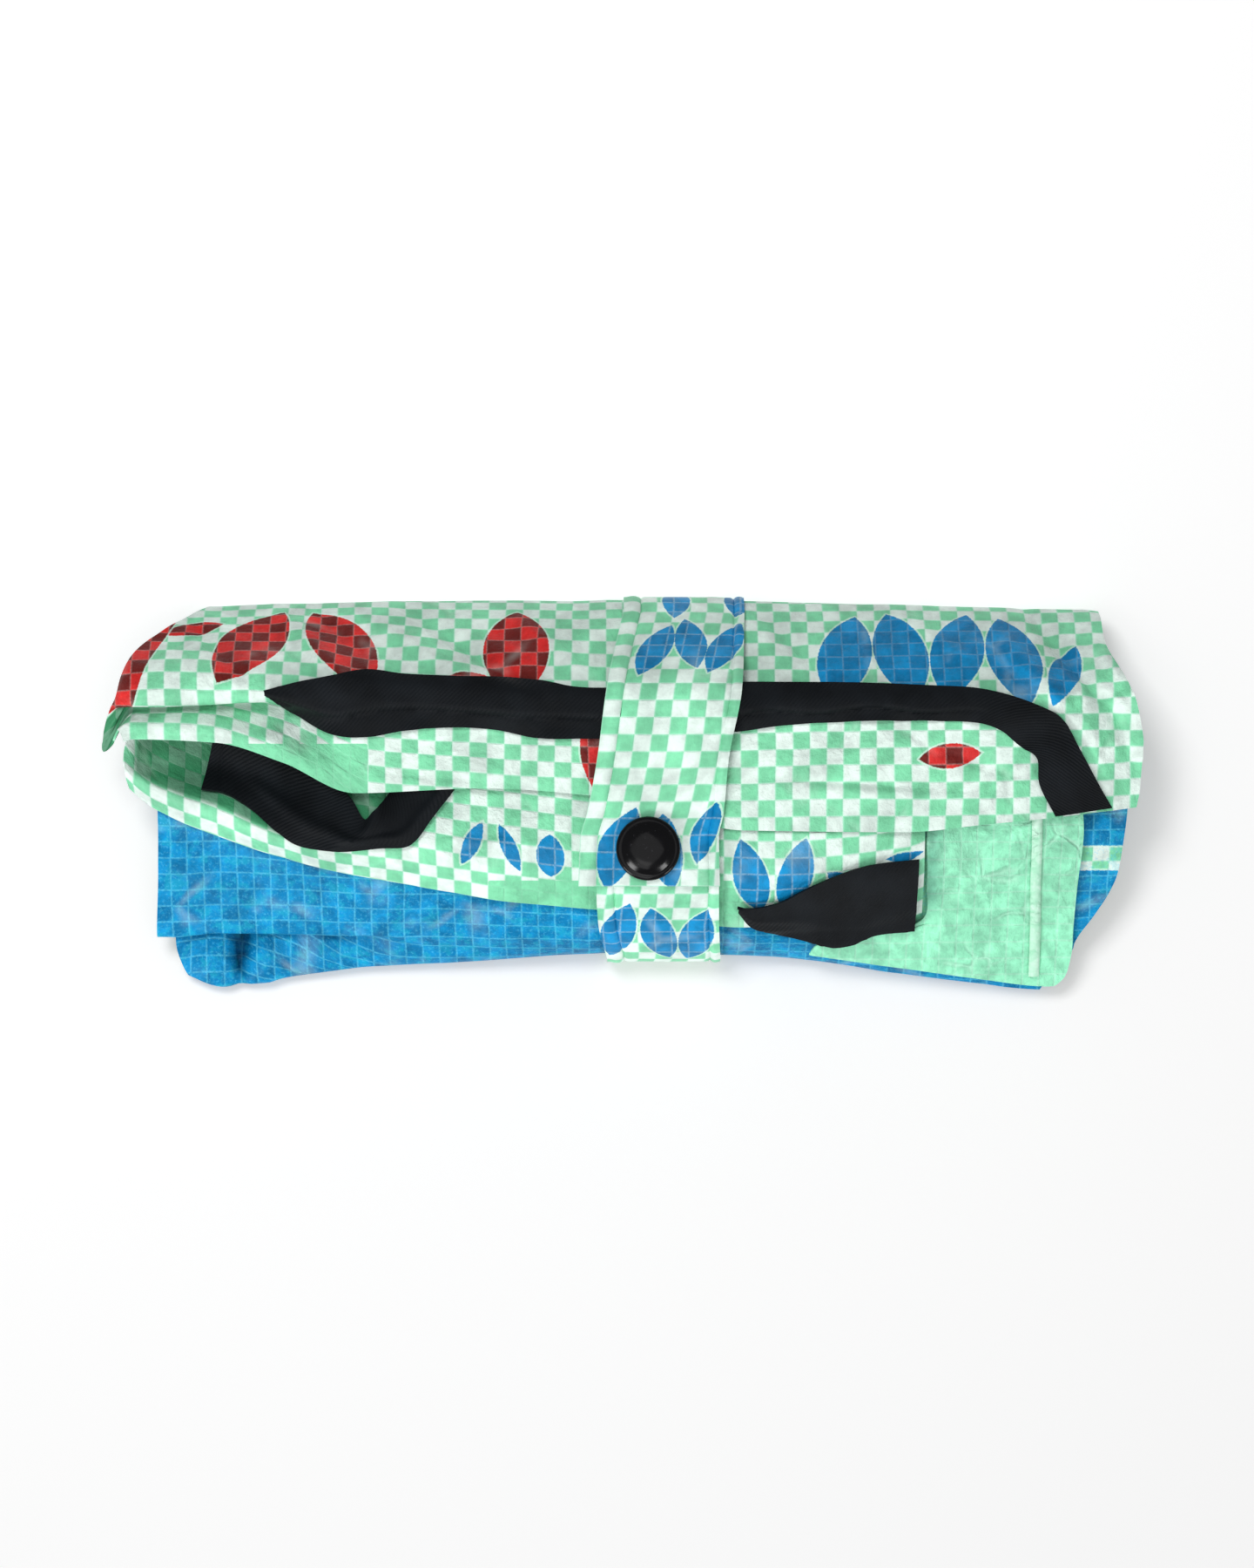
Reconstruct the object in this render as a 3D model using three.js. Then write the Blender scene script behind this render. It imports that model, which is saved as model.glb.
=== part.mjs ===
// A rice sack shopping bag, rolled up flat and held by its closing strap.
// Millimetres, +Z up. X runs along the roll, +Y is the rolled back, -Y the open front.
import * as THREE from 'three';

// Driving dimensions
const CLOTH = 1.0;          // woven sack cloth, thickness
const TAPE = 1.4;           // handle tape, thickness
const STRAP = 1.2;          // closing strap, two plies sewn flat
const REST_GAP = 0.5;       // air between plies that lie on each other
const UNDER_STRAP = 2.3;    // height of the sole's middle ply where the strap passes below
const SOLE = CLOTH / 2;     // height of the sole's middle ply elsewhere
const STUD_RADIUS = 10.2;
const STUD_HEIGHT = 4.2;
const STUD_CENTRE = { x: 8.1, y: -18.2, z: 41.6 };
const BOX_CENTRE = { x: 0.01, y: 0.45 };

// The outer panel: hem, rolled lip, tuck, crease and crown on top, then the back
const OUTER = [
  { x: -166, hemY: 17.0, hemZ: 33.6, lipY: 18.5, lipZ: 30.5, tuckY: 16.0, tuckZ: 26.0,
    creaseY: 26.5, creaseZ: 30.5, crownY: 36.0, crownZ: 31.5, backY: 55.0, pleat: 0.1 },
  { x: -156, hemY: 16.6, hemZ: 36.2, lipY: 25.5, lipZ: 32.6, tuckY: 32.0, tuckZ: 33.8,
    creaseY: 27.2, creaseZ: 36.2, crownY: 37.0, crownZ: 37.0, backY: 55.6, pleat: 1 },
  { x: -130, hemY: 15.5, hemZ: 37.6, lipY: 27.0, lipZ: 33.6, tuckY: 34.5, tuckZ: 35.2,
    creaseY: 28.3, creaseZ: 37.6, crownY: 37.5, crownZ: 38.6, backY: 57.0, pleat: 1 },
  { x: -108, hemY: 9.0, hemZ: 38.2, lipY: 25.5, lipZ: 34.6, tuckY: 32.5, tuckZ: 36.0,
    creaseY: 28.8, creaseZ: 38.4, crownY: 37.0, crownZ: 39.4, backY: 58.0, pleat: 1 },
  { x: -85, hemY: -0.6, hemZ: 38.8, lipY: 12.9, lipZ: 39.0, tuckY: 19.0, tuckZ: 39.4,
    creaseY: 25.0, creaseZ: 39.9, crownY: 34.0, crownZ: 40.2, backY: 59.0, pleat: 0 },
  { x: -45, hemY: 0.8, hemZ: 39.5, lipY: 10.0, lipZ: 39.9, tuckY: 15.0, tuckZ: 40.0,
    creaseY: 21.0, creaseZ: 40.2, crownY: 31.0, crownZ: 40.6, backY: 60.0, pleat: 0 },
  { x: -5, hemY: -2.0, hemZ: 39.2, lipY: 6.0, lipZ: 40.0, tuckY: 11.0, tuckZ: 40.2,
    creaseY: 18.0, creaseZ: 40.3, crownY: 30.0, crownZ: 40.4, backY: 60.4, pleat: 0 },
  { x: 38, hemY: -12.4, hemZ: 38.8, lipY: 2.0, lipZ: 39.9, tuckY: 7.0, tuckZ: 40.0,
    creaseY: 14.0, creaseZ: 40.2, crownY: 29.0, crownZ: 40.4, backY: 60.2, pleat: 0 },
  { x: 90, hemY: -13.0, hemZ: 38.2, lipY: -1.0, lipZ: 38.9, tuckY: 5.0, tuckZ: 39.2,
    creaseY: 13.0, creaseZ: 39.6, crownY: 30.0, crownZ: 40.0, backY: 58.4, pleat: 0 },
  { x: 115, hemY: -10.6, hemZ: 36.6, lipY: 1.0, lipZ: 37.9, tuckY: 7.0, tuckZ: 38.5,
    creaseY: 14.0, creaseZ: 39.0, crownY: 30.0, crownZ: 39.5, backY: 57.2, pleat: 0 },
  { x: 140, hemY: -8.1, hemZ: 34.6, lipY: 3.0, lipZ: 36.5, tuckY: 9.0, tuckZ: 37.4,
    creaseY: 15.0, creaseZ: 38.0, crownY: 30.0, crownZ: 38.8, backY: 56.2, pleat: 0 },
  { x: 165, hemY: -5.0, hemZ: 31.6, lipY: 6.0, lipZ: 34.0, tuckY: 11.0, tuckZ: 35.4,
    creaseY: 16.0, creaseZ: 36.5, crownY: 30.0, crownZ: 37.0, backY: 55.4, pleat: 0 },
];

// The inner panel: it runs out of the mouth, over a ridge and down to its own hem
const INNER = [
  { x: -165, deepZ: 29.0, throatZ: 30.0, floorY: 14.0, floorZ: 30.5, ridgeY: 11.0, ridgeZ: 31.0,
    footY: 8.0, footZ: 27.0 },
  { x: -150, deepZ: 30.0, throatZ: 27.0, floorY: 10.0, floorZ: 26.5, ridgeY: 1.0, ridgeZ: 31.5,
    footY: -5.5, footZ: 25.5 },
  { x: -130, deepZ: 31.0, throatZ: 26.5, floorY: 7.0, floorZ: 24.5, ridgeY: -6.0, ridgeZ: 31.5,
    footY: -14.0, footZ: 25.5 },
  { x: -108, deepZ: 32.0, throatZ: 29.0, floorY: 2.5, floorZ: 27.5, ridgeY: -15.0, ridgeZ: 33.5,
    footY: -21.5, footZ: 26.0 },
  { x: -85, deepZ: 34.0, throatZ: 33.0, floorY: 0.0, floorZ: 32.5, ridgeY: -18.5, ridgeZ: 35.3,
    footY: -27.0, footZ: 26.5 },
  { x: -45, deepZ: 35.5, throatZ: 35.3, floorY: 0.0, floorZ: 35.5, ridgeY: -21.0, ridgeZ: 35.9,
    footY: -34.0, footZ: 27.0 },
  { x: -5, deepZ: 36.0, throatZ: 36.7, floorY: -2.0, floorZ: 36.8, ridgeY: -24.0, ridgeZ: 36.4,
    footY: -38.5, footZ: 26.0 },
  { x: 38, deepZ: 36.0, throatZ: 36.6, floorY: -4.0, floorZ: 36.7, ridgeY: -26.0, ridgeZ: 36.0,
    footY: -43.5, footZ: 22.5 },
  { x: 90, deepZ: 35.5, throatZ: 36.0, floorY: -3.0, floorZ: 35.8, ridgeY: -24.0, ridgeZ: 33.0,
    footY: -41.0, footZ: 21.0 },
  { x: 115, deepZ: 35.0, throatZ: 35.0, floorY: -1.0, floorZ: 34.0, ridgeY: -15.0, ridgeZ: 31.0,
    footY: -32.0, footZ: 22.5 },
  { x: 140, deepZ: 34.0, throatZ: 34.0, floorY: 0.0, floorZ: 32.6, ridgeY: -15.0, ridgeZ: 29.5,
    footY: -30.0, footZ: 22.5 },
  { x: 165, deepZ: 32.0, throatZ: 31.5, floorY: 0.0, floorZ: 30.0, ridgeY: -15.0, ridgeZ: 27.0,
    footY: -30.0, footZ: 20.5 },
];

// The blue base: its rounded nose, the tucked fold above it and the folds inside the roll
const BASE = [
  { x: -165, noseY: -50.0, brimY: -46.0, brimZ: 7.4, tuckY: -38.0, tuckZ: 8.8,
    stepY: -45.5, stepZ: 11.4, turnY: -20.0, pleat: 1 },
  { x: -145, noseY: -55.0, brimY: -49.0, brimZ: 7.4, tuckY: -36.0, tuckZ: 8.8,
    stepY: -45.9, stepZ: 11.4, turnY: -21.0, pleat: 1 },
  { x: -130, noseY: -60.8, brimY: -53.0, brimZ: 7.6, tuckY: -35.0, tuckZ: 9.0,
    stepY: -45.9, stepZ: 11.6, turnY: -22.0, pleat: 1 },
  { x: -108, noseY: -58.6, brimY: -52.0, brimZ: 8.0, tuckY: -38.0, tuckZ: 9.4,
    stepY: -45.9, stepZ: 12.0, turnY: -24.0, pleat: 1 },
  { x: -85, noseY: -56.0, brimY: -52.5, brimZ: 9.0, tuckY: -45.0, tuckZ: 10.8,
    stepY: -46.5, stepZ: 14.0, turnY: -28.0, pleat: 0.5 },
  { x: -60, noseY: -54.8, brimY: -53.4, brimZ: 9.2, tuckY: -50.4, tuckZ: 12.2,
    stepY: -47.0, stepZ: 17.0, turnY: -33.0, pleat: 0 },
  { x: -5, noseY: -52.4, brimY: -52.2, brimZ: 9.6, tuckY: -51.0, tuckZ: 13.8,
    stepY: -48.0, stepZ: 18.4, turnY: -36.0, pleat: 0 },
  { x: 38, noseY: -52.8, brimY: -52.6, brimZ: 8.6, tuckY: -51.4, tuckZ: 12.2,
    stepY: -49.0, stepZ: 16.6, turnY: -37.0, pleat: 0 },
  { x: 90, noseY: -57.0, brimY: -56.0, brimZ: 7.6, tuckY: -53.4, tuckZ: 10.2,
    stepY: -49.4, stepZ: 13.6, turnY: -35.0, pleat: 0 },
  { x: 115, noseY: -59.8, brimY: -58.0, brimZ: 7.0, tuckY: -54.4, tuckZ: 9.4,
    stepY: -49.5, stepZ: 12.8, turnY: -31.0, pleat: 0 },
  { x: 140, noseY: -61.8, brimY: -59.0, brimZ: 6.6, tuckY: -54.6, tuckZ: 9.0,
    stepY: -49.0, stepZ: 12.4, turnY: -29.0, pleat: 0 },
  { x: 165, noseY: -60.0, brimY: -57.0, brimZ: 6.6, tuckY: -52.8, tuckZ: 9.0,
    stepY: -48.0, stepZ: 12.2, turnY: -27.0, pleat: 0 },
];

// How far the sole is lifted off the surface, by place along the roll
const LIFT = [
  { x: -60, sole: SOLE }, { x: -24, sole: UNDER_STRAP },
  { x: 50, sole: UNDER_STRAP }, { x: 86, sole: SOLE },
];

// The front handle, edge to edge, from the tip in the tuck to the end at the hem
const FRONT_HANDLE = [
  { farX: -113.6, farY: 31.6, nearX: -113.0, nearY: 30.0 },
  { farX: -104.4, farY: 34.2, nearX: -103.6, nearY: 24.2 },
  { farX: -93.2, farY: 36.4, nearX: -91.6, nearY: 17.8 },
  { farX: -81.2, farY: 38.4, nearX: -81.2, nearY: 17.2 },
  { farX: -69.2, farY: 37.0, nearX: -70.0, nearY: 19.0 },
  { farX: -54.6, farY: 36.4, nearX: -56.0, nearY: 20.2 },
  { farX: -40.6, farY: 36.0, nearX: -40.6, nearY: 19.6 },
  { farX: -26.6, farY: 35.0, nearX: -26.6, nearY: 16.8 },
  { farX: -13.7, farY: 32.8, nearX: -13.7, nearY: 16.6 },
  { farX: 11.2, farY: 33.2, nearX: 11.2, nearY: 17.4 },
  { farX: 37.2, farY: 34.4, nearX: 36.4, nearY: 19.0 },
  { farX: 51.8, farY: 34.4, nearX: 51.8, nearY: 21.0 },
  { farX: 75.6, farY: 34.2, nearX: 75.6, nearY: 22.2 },
  { farX: 96.6, farY: 33.4, nearX: 95.8, nearY: 22.4 },
  { farX: 114.8, farY: 32.2, nearX: 112.0, nearY: 21.8 },
  { farX: 130.4, farY: 27.8, nearX: 120.6, nearY: 19.0 },
  { farX: 139.4, farY: 23.0, nearX: 126.6, nearY: 14.0 },
  { farX: 145.4, farY: 12.9, nearX: 131.4, nearY: 10.6 },
  { farX: 151.4, farY: 2.2, nearX: 132.4, nearY: 2.2 },
  { farX: 156.0, farY: -5.3, nearX: 137.8, nearY: -8.1 },
];

// The back handle where it shows in the mouth: sewn end, half turn, arm under the hem
const BACK_HANDLE_LEFT = [
  { farX: -131.6, farY: 15.4, nearX: -134.7, nearY: 0.6 },
  { farX: -126.6, farY: 15.2, nearX: -127.1, nearY: -0.8 },
  { farX: -116.2, farY: 12.0, nearX: -119.0, nearY: -5.6 },
  { farX: -106.4, farY: 8.4, nearX: -111.2, nearY: -12.3 },
  { farX: -93.6, farY: 2.2, nearX: -104.0, nearY: -17.1 },
  { farX: -87.0, farY: -1.9, nearX: -95.2, nearY: -19.0 },
  { farX: -81.8, farY: -9.2, nearX: -86.8, nearY: -19.0 },
  { farX: -79.2, farY: -6.8, nearX: -77.0, nearY: -18.2 },
  { farX: -76.7, farY: -3.6, nearX: -67.6, nearY: -17.2 },
  { farX: -73.6, farY: 0.0, nearX: -60.2, nearY: -8.2 },
  { farX: -69.0, farY: 4.5, nearX: -53.0, nearY: 1.4 },
];

// The back handle's other end, lying over the inner panel and the side panel
const BACK_HANDLE_RIGHT = [
  { farX: 36.7, farY: -37.2, nearX: 37.4, nearY: -38.8 },
  { farX: 42.3, farY: -37.5, nearX: 41.7, nearY: -43.7 },
  { farX: 50.4, farY: -35.6, nearX: 49.8, nearY: -45.9 },
  { farX: 59.1, farY: -31.1, nearX: 58.8, nearY: -48.2 },
  { farX: 68.6, farY: -26.9, nearX: 67.2, nearY: -50.4 },
  { farX: 75.6, farY: -24.4, nearX: 74.8, nearY: -49.3 },
  { farX: 82.6, farY: -23.0, nearX: 81.2, nearY: -46.5 },
  { farX: 94.6, farY: -21.8, nearX: 94.1, nearY: -45.1 },
];

// The side panel over the base at the right: far edge, middle rows and near edge
const SIDE_PANEL = [
  { left: 97.2, leftY: -9.0, right: 147.0, rightY: -4.0 },
  { left: 97.2, leftY: -16.0, right: 147.6, rightY: -14.0 },
  { left: 97.6, leftY: -30.0, right: 146.4, rightY: -30.0 },
  { left: 97.0, leftY: -41.0, right: 145.6, rightY: -44.0 },
  { left: 63.0, leftY: -49.5, right: 145.2, rightY: -52.0 },
  { left: 60.4, leftY: -53.8, right: 143.0, rightY: -58.6 },
  { left: 62.0, leftY: -55.6, right: 139.0, rightY: -61.6 },
];

// The closing strap's middle line round the roll, from its outer end to its inner one
const STRAP_LINE = [
  { y: -30.2, z: 40.3 }, { y: -24.0, z: 40.5 }, { y: -14.0, z: 40.6 }, { y: -8.5, z: 40.7 },
  { y: -1.0, z: 41.7 }, { y: 8.0, z: 42.9 }, { y: 15.0, z: 44.4 }, { y: 24.0, z: 45.1 },
  { y: 33.0, z: 44.4 }, { y: 40.0, z: 39.6 }, { y: 49.0, z: 30.2 }, { y: 57.2, z: 21.4 },
  { y: 61.8, z: 14.0 }, { y: 62.3, z: 8.0 }, { y: 58.6, z: 2.2 }, { y: 52.0, z: 0.6 },
  { y: 30.0, z: 0.6 }, { y: 0.0, z: 0.6 }, { y: -30.0, z: 0.6 }, { y: -46.0, z: 0.6 },
  { y: -53.2, z: 1.7 }, { y: -54.9, z: 5.8 }, { y: -54.5, z: 11.0 }, { y: -52.0, z: 17.0 },
  { y: -47.4, z: 23.4 }, { y: -41.0, z: 29.6 }, { y: -34.0, z: 35.6 }, { y: -27.0, z: 38.4 },
  { y: -15.0, z: 38.9 },
];
const STRAP_TOP_EDGES = [
  { x: -30.2, left: -14.0, right: 30.8 }, { x: -15.0, left: -13.4, right: 30.5 },
  { x: -6.7, left: -11.2, right: 32.0 }, { x: 10.6, left: -8.0, right: 33.6 },
  { x: 33.0, left: -5.0, right: 37.8 }, { x: 58.0, left: 0.3, right: 39.2 },
];
const STRAP_UNDER = { left: -4.0, right: 36.0 };
const STRAP_LOWER_EDGES = [
  { x: -54.0, left: -5.0, right: 31.6 }, { x: -42.0, left: -7.8, right: 30.8 },
  { x: -32.0, left: -8.3, right: 30.6 }, { x: -15.0, left: -8.3, right: 30.4 },
];

// The runs inside the roll, from the top one down, as shares of the height above the sole
const INNER_RUNS = [
  { share: 0.8, next: 0.6, side: 'back' }, { share: 0.6, next: 0.4, side: 'front' },
  { share: 0.4, next: 0.2, side: 'back' }, { share: 0.2, next: null, side: 'front' },
];
const RUN_WAVE = { height: 2.6, length: 105, phase: 0.6 };
const SEAM_Y = 20.0;

const COLOUR = {
  checked: 0xa9e6c4, blue: 0x1f7fc0, green: 0x93e0ae, tape: 0x15171b, stud: 0x0c0d10,
};

// A value of one column at x, on a smooth line that never overshoots its rows
function column(rows, name, x) {
  const last = rows.length - 1;
  if (x <= rows[0].x) return rows[0][name];
  if (x >= rows[last].x) return rows[last][name];
  let i = 0;
  while (x > rows[i + 1].x) i += 1;
  const rise = (k) => (rows[k + 1][name] - rows[k][name]) / (rows[k + 1].x - rows[k].x);
  const tangent = (k) => {
    if (k === 0) return rise(0);
    if (k === last) return rise(last - 1);
    const product = rise(k - 1) * rise(k);
    return product <= 0 ? 0 : 2 * product / (rise(k - 1) + rise(k));
  };
  const h = rows[i + 1].x - rows[i].x;
  const t = (x - rows[i].x) / h;
  const t2 = t * t;
  const t3 = t2 * t;
  return (2 * t3 - 3 * t2 + 1) * rows[i][name] + (t3 - 2 * t2 + t) * h * tangent(i)
    + (3 * t2 - 2 * t3) * rows[i + 1][name] + (t3 - t2) * h * tangent(i + 1);
}

const mix = (a, b, t) => a + (b - a) * t;

// A named line of a table: its y and z at x
const lineOf = (rows, name) => (x) => ({
  y: column(rows, `${name}Y`, x), z: column(rows, `${name}Z`, x) });

// Cloth beside a pleat's turn at x: tucked by dy and level with the pleat's middle or outside it
// where pleated, and a share of the way from one line to the next where flat
function besideTurn(rows, place) {
  const { turn, other, side, inward, from, to, share } = place;
  return (x) => {
    const pleat = column(rows, 'pleat', x) ** 2;
    const tip = turn(x);
    const radius = Math.abs(other(x).z - tip.z) / 2;
    return {
      y: mix(mix(from(x).y, to(x).y, share), tip.y + inward * radius, pleat),
      z: mix(mix(from(x).z, to(x).z, share), tip.z + side * radius, pleat) };
  };
}

// A grid of points: one smooth section through the folds for each station along the roll
function sectionGrid(folds, stations) {
  return stations.map((u) => {
    const points = folds.map(({ left, right, at }) => {
      const x = mix(left, right, u);
      const { y, z } = at(x);
      return new THREE.Vector3(x, y, z);
    });
    const curve = new THREE.CatmullRomCurve3(points, false, 'centripetal');
    const row = [];
    folds.slice(0, -1).forEach(({ steps }, k) => {
      for (let j = 0; j < steps; j += 1) {
        row.push(curve.getPoint((k + j / steps) / (folds.length - 1)));
      }
    });
    row.push(points[points.length - 1]);
    row.forEach((point) => { point.z = Math.max(point.z, column(LIFT, 'sole', point.x)); });
    return row;
  });
}

// A closed solid of even thickness on both sides of a grid of points
function sheetGeometry(grid, thickness) {
  const rows = grid.length;
  const cols = grid[0].length;
  const along = new THREE.Vector3();
  const across = new THREE.Vector3();
  const positions = [];
  [0.5, -0.5].forEach((side) => {
    for (let i = 0; i < rows; i += 1) {
      for (let j = 0; j < cols; j += 1) {
        along.subVectors(grid[Math.min(i + 1, rows - 1)][j], grid[Math.max(i - 1, 0)][j]);
        across.subVectors(grid[i][Math.min(j + 1, cols - 1)], grid[i][Math.max(j - 1, 0)]);
        const normal = new THREE.Vector3().crossVectors(along, across).normalize();
        positions.push(...grid[i][j].clone().addScaledVector(normal, side * thickness));
      }
    }
  });
  const under = rows * cols;
  const at = (i, j) => i * cols + j;
  const faces = [];
  const quad = (a, b, c, d) => faces.push(a, b, c, a, c, d);
  for (let i = 0; i < rows - 1; i += 1) {
    for (let j = 0; j < cols - 1; j += 1) {
      const corners = [at(i, j), at(i + 1, j), at(i + 1, j + 1), at(i, j + 1)];
      quad(...corners);
      quad(...corners.map((n) => n + under).reverse());
    }
  }
  const rim = [];
  for (let i = 0; i < rows - 1; i += 1) rim.push(at(i, 0));
  for (let j = 0; j < cols - 1; j += 1) rim.push(at(rows - 1, j));
  for (let i = rows - 1; i > 0; i -= 1) rim.push(at(i, cols - 1));
  for (let j = cols - 1; j > 0; j -= 1) rim.push(at(0, j));
  rim.forEach((a, k) => {
    const b = rim[(k + 1) % rim.length];
    quad(b, a, a + under, b + under);
  });
  const geometry = new THREE.BufferGeometry();
  geometry.setAttribute('position', new THREE.Float32BufferAttribute(positions, 3));
  geometry.setIndex(faces);
  geometry.computeVertexNormals();
  return geometry;
}

// The highest point of some grids over the place x, y
function heightOver(grids, x, y) {
  let best = -Infinity;
  const corner = (a, b, c) => {
    const area = (b.x - a.x) * (c.y - a.y) - (c.x - a.x) * (b.y - a.y);
    if (Math.abs(area) < 1e-9) return;
    const v = ((x - a.x) * (c.y - a.y) - (c.x - a.x) * (y - a.y)) / area;
    const w = ((b.x - a.x) * (y - a.y) - (x - a.x) * (b.y - a.y)) / area;
    if (v < 0 || w < 0 || v + w > 1) return;
    best = Math.max(best, a.z + v * (b.z - a.z) + w * (c.z - a.z));
  };
  grids.forEach((grid) => {
    for (let i = 0; i < grid.length - 1; i += 1) {
      for (let j = 0; j < grid[0].length - 1; j += 1) {
        const [a, b, c, d] = [grid[i][j], grid[i + 1][j], grid[i + 1][j + 1], grid[i][j + 1]];
        if (Math.min(a.x, b.x, c.x, d.x) > x || Math.max(a.x, b.x, c.x, d.x) < x) continue;
        if (Math.min(a.y, b.y, c.y, d.y) > y || Math.max(a.y, b.y, c.y, d.y) < y) continue;
        corner(a, b, c);
        corner(a, c, d);
      }
    }
  });
  return best;
}

// The same, taken over a small patch so that a piece laid there clears edges too
function restHeight(grids, x, y, patch) {
  const reach = [[0, 0], [patch, 0], [-patch, 0], [0, patch], [0, -patch]];
  return Math.max(...reach.map(([dx, dy]) => heightOver(grids, x + dx, y + dy)));
}

// A tape bridges short dips: each point rises to its neighbours' mean, never sinks
function bridgeDips(grid, passes) {
  for (let pass = 0; pass < passes; pass += 1) {
    const heights = grid.map((row) => row.map((point) => point.z));
    grid.forEach((row, i) => row.forEach((point, j) => {
      const ring = [[i - 1, j], [i + 1, j], [i, j - 1], [i, j + 1]]
        .map(([a, b]) => heights[a]?.[b]).filter((z) => z !== undefined);
      const mean = ring.reduce((sum, z) => sum + z, 0) / ring.length;
      if (ring.length === 4) point.z = Math.max(point.z, mean);
    }));
  }
  return grid;
}

// A tape between two edges, laid over grids, with a soft lengthwise bulge
function tapeGrid(rows, grids, lift, bulge, steps, across) {
  const edge = (nameX, nameY) => new THREE.CatmullRomCurve3(
    rows.map((row) => new THREE.Vector3(row[nameX], row[nameY], 0)), false, 'centripetal');
  const far = edge('farX', 'farY');
  const near = edge('nearX', 'nearY');
  const grid = [];
  for (let i = 0; i <= steps; i += 1) {
    const row = [];
    const from = far.getPoint(i / steps);
    const to = near.getPoint(i / steps);
    for (let j = 0; j <= across; j += 1) {
      const t = j / across;
      const point = from.clone().lerp(to, t);
      point.z = restHeight(grids, point.x, point.y, 1.6) + lift + bulge * Math.sin(Math.PI * t);
      row.push(point);
    }
    grid.push(row);
  }
  return bridgeDips(grid, 4);
}

// Stations from 0 to 1 along the roll, closer together at the left end
function stations(count, crowd) {
  return Array.from({ length: count + 1 }, (_, i) => {
    const t = i / count;
    return mix(t, t * t, crowd);
  });
}

function outerFolds() {
  const sole = (x) => column(LIFT, 'sole', x);
  const fold = (left, right, steps, at) => ({ left, right, steps, at });
  const [hem, lip, tuck, crease, crown] = ['hem', 'lip', 'tuck', 'crease', 'crown']
    .map((name) => lineOf(OUTER, name));
  const back = (dy, z) => (x) => ({ y: column(OUTER, 'backY', x) + dy, z });
  const bulge = (x) => ({ y: hem(x).y + 4.5, z: hem(x).z + 0.5 });
  const beside = (turn, side, inward, from, to, share) => besideTurn(OUTER, {
    turn, other: turn === tuck ? crease : tuck, side, inward, from, to, share });
  return [
    fold(-159.5, 164.6, 2, hem),
    fold(-160.5, 166.0, 3, bulge),
    fold(-161.0, 167.0, 2, lip),
    fold(-164.0, 167.0, 2, beside(tuck, -1, -1, lip, tuck, 0.6)),
    fold(-167.0, 167.2, 2, tuck),
    fold(-166.0, 167.2, 1, beside(tuck, 1, -1, tuck, crease, 0.35)),
    fold(-164.6, 167.2, 2, beside(crease, -1, 1, tuck, crease, 0.7)),
    fold(-163.5, 167.2, 2, crease),
    fold(-162.0, 166.6, 2, beside(crease, 1, 1, crease, crown, 0.3)),
    fold(-159.0, 166.0, 4, crown),
    fold(-152.0, 161.5, 4, back(-12.5, 27.5)),
    fold(-129.0, 154.0, 3, back(0, 12)),
    fold(-131.0, 152.0, 3, back(-1.6, 5)),
    fold(-134.0, 151.0, 4, (x) => ({ y: column(OUTER, 'backY', x) - 9, z: sole(x) })),
    fold(-137.0, 150.0, 1, (x) => ({ y: SEAM_Y + 0.3, z: sole(x) })),
  ];
}

function innerFolds() {
  const fold = (left, right, steps, at) => ({ left, right, steps, at });
  return [
    fold(-150, 90, 3, (x) => ({ y: 34.0, z: column(INNER, 'deepZ', x) - 0.6 })),
    fold(-155, 92, 4, (x) => ({ y: 22.0, z: column(INNER, 'throatZ', x) })),
    fold(-157.5, 94, 4, lineOf(INNER, 'floor')),
    fold(-158.5, 94, 5, lineOf(INNER, 'ridge')),
    fold(-158.0, 94, 1, lineOf(INNER, 'foot')),
  ];
}

// The runs inside the roll rise and fall together, most of all half way up
function inWave(x, share) {
  const swing = Math.sin(2 * Math.PI * x / RUN_WAVE.length + RUN_WAVE.phase);
  return RUN_WAVE.height * 4 * share * (1 - share) * swing;
}

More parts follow.
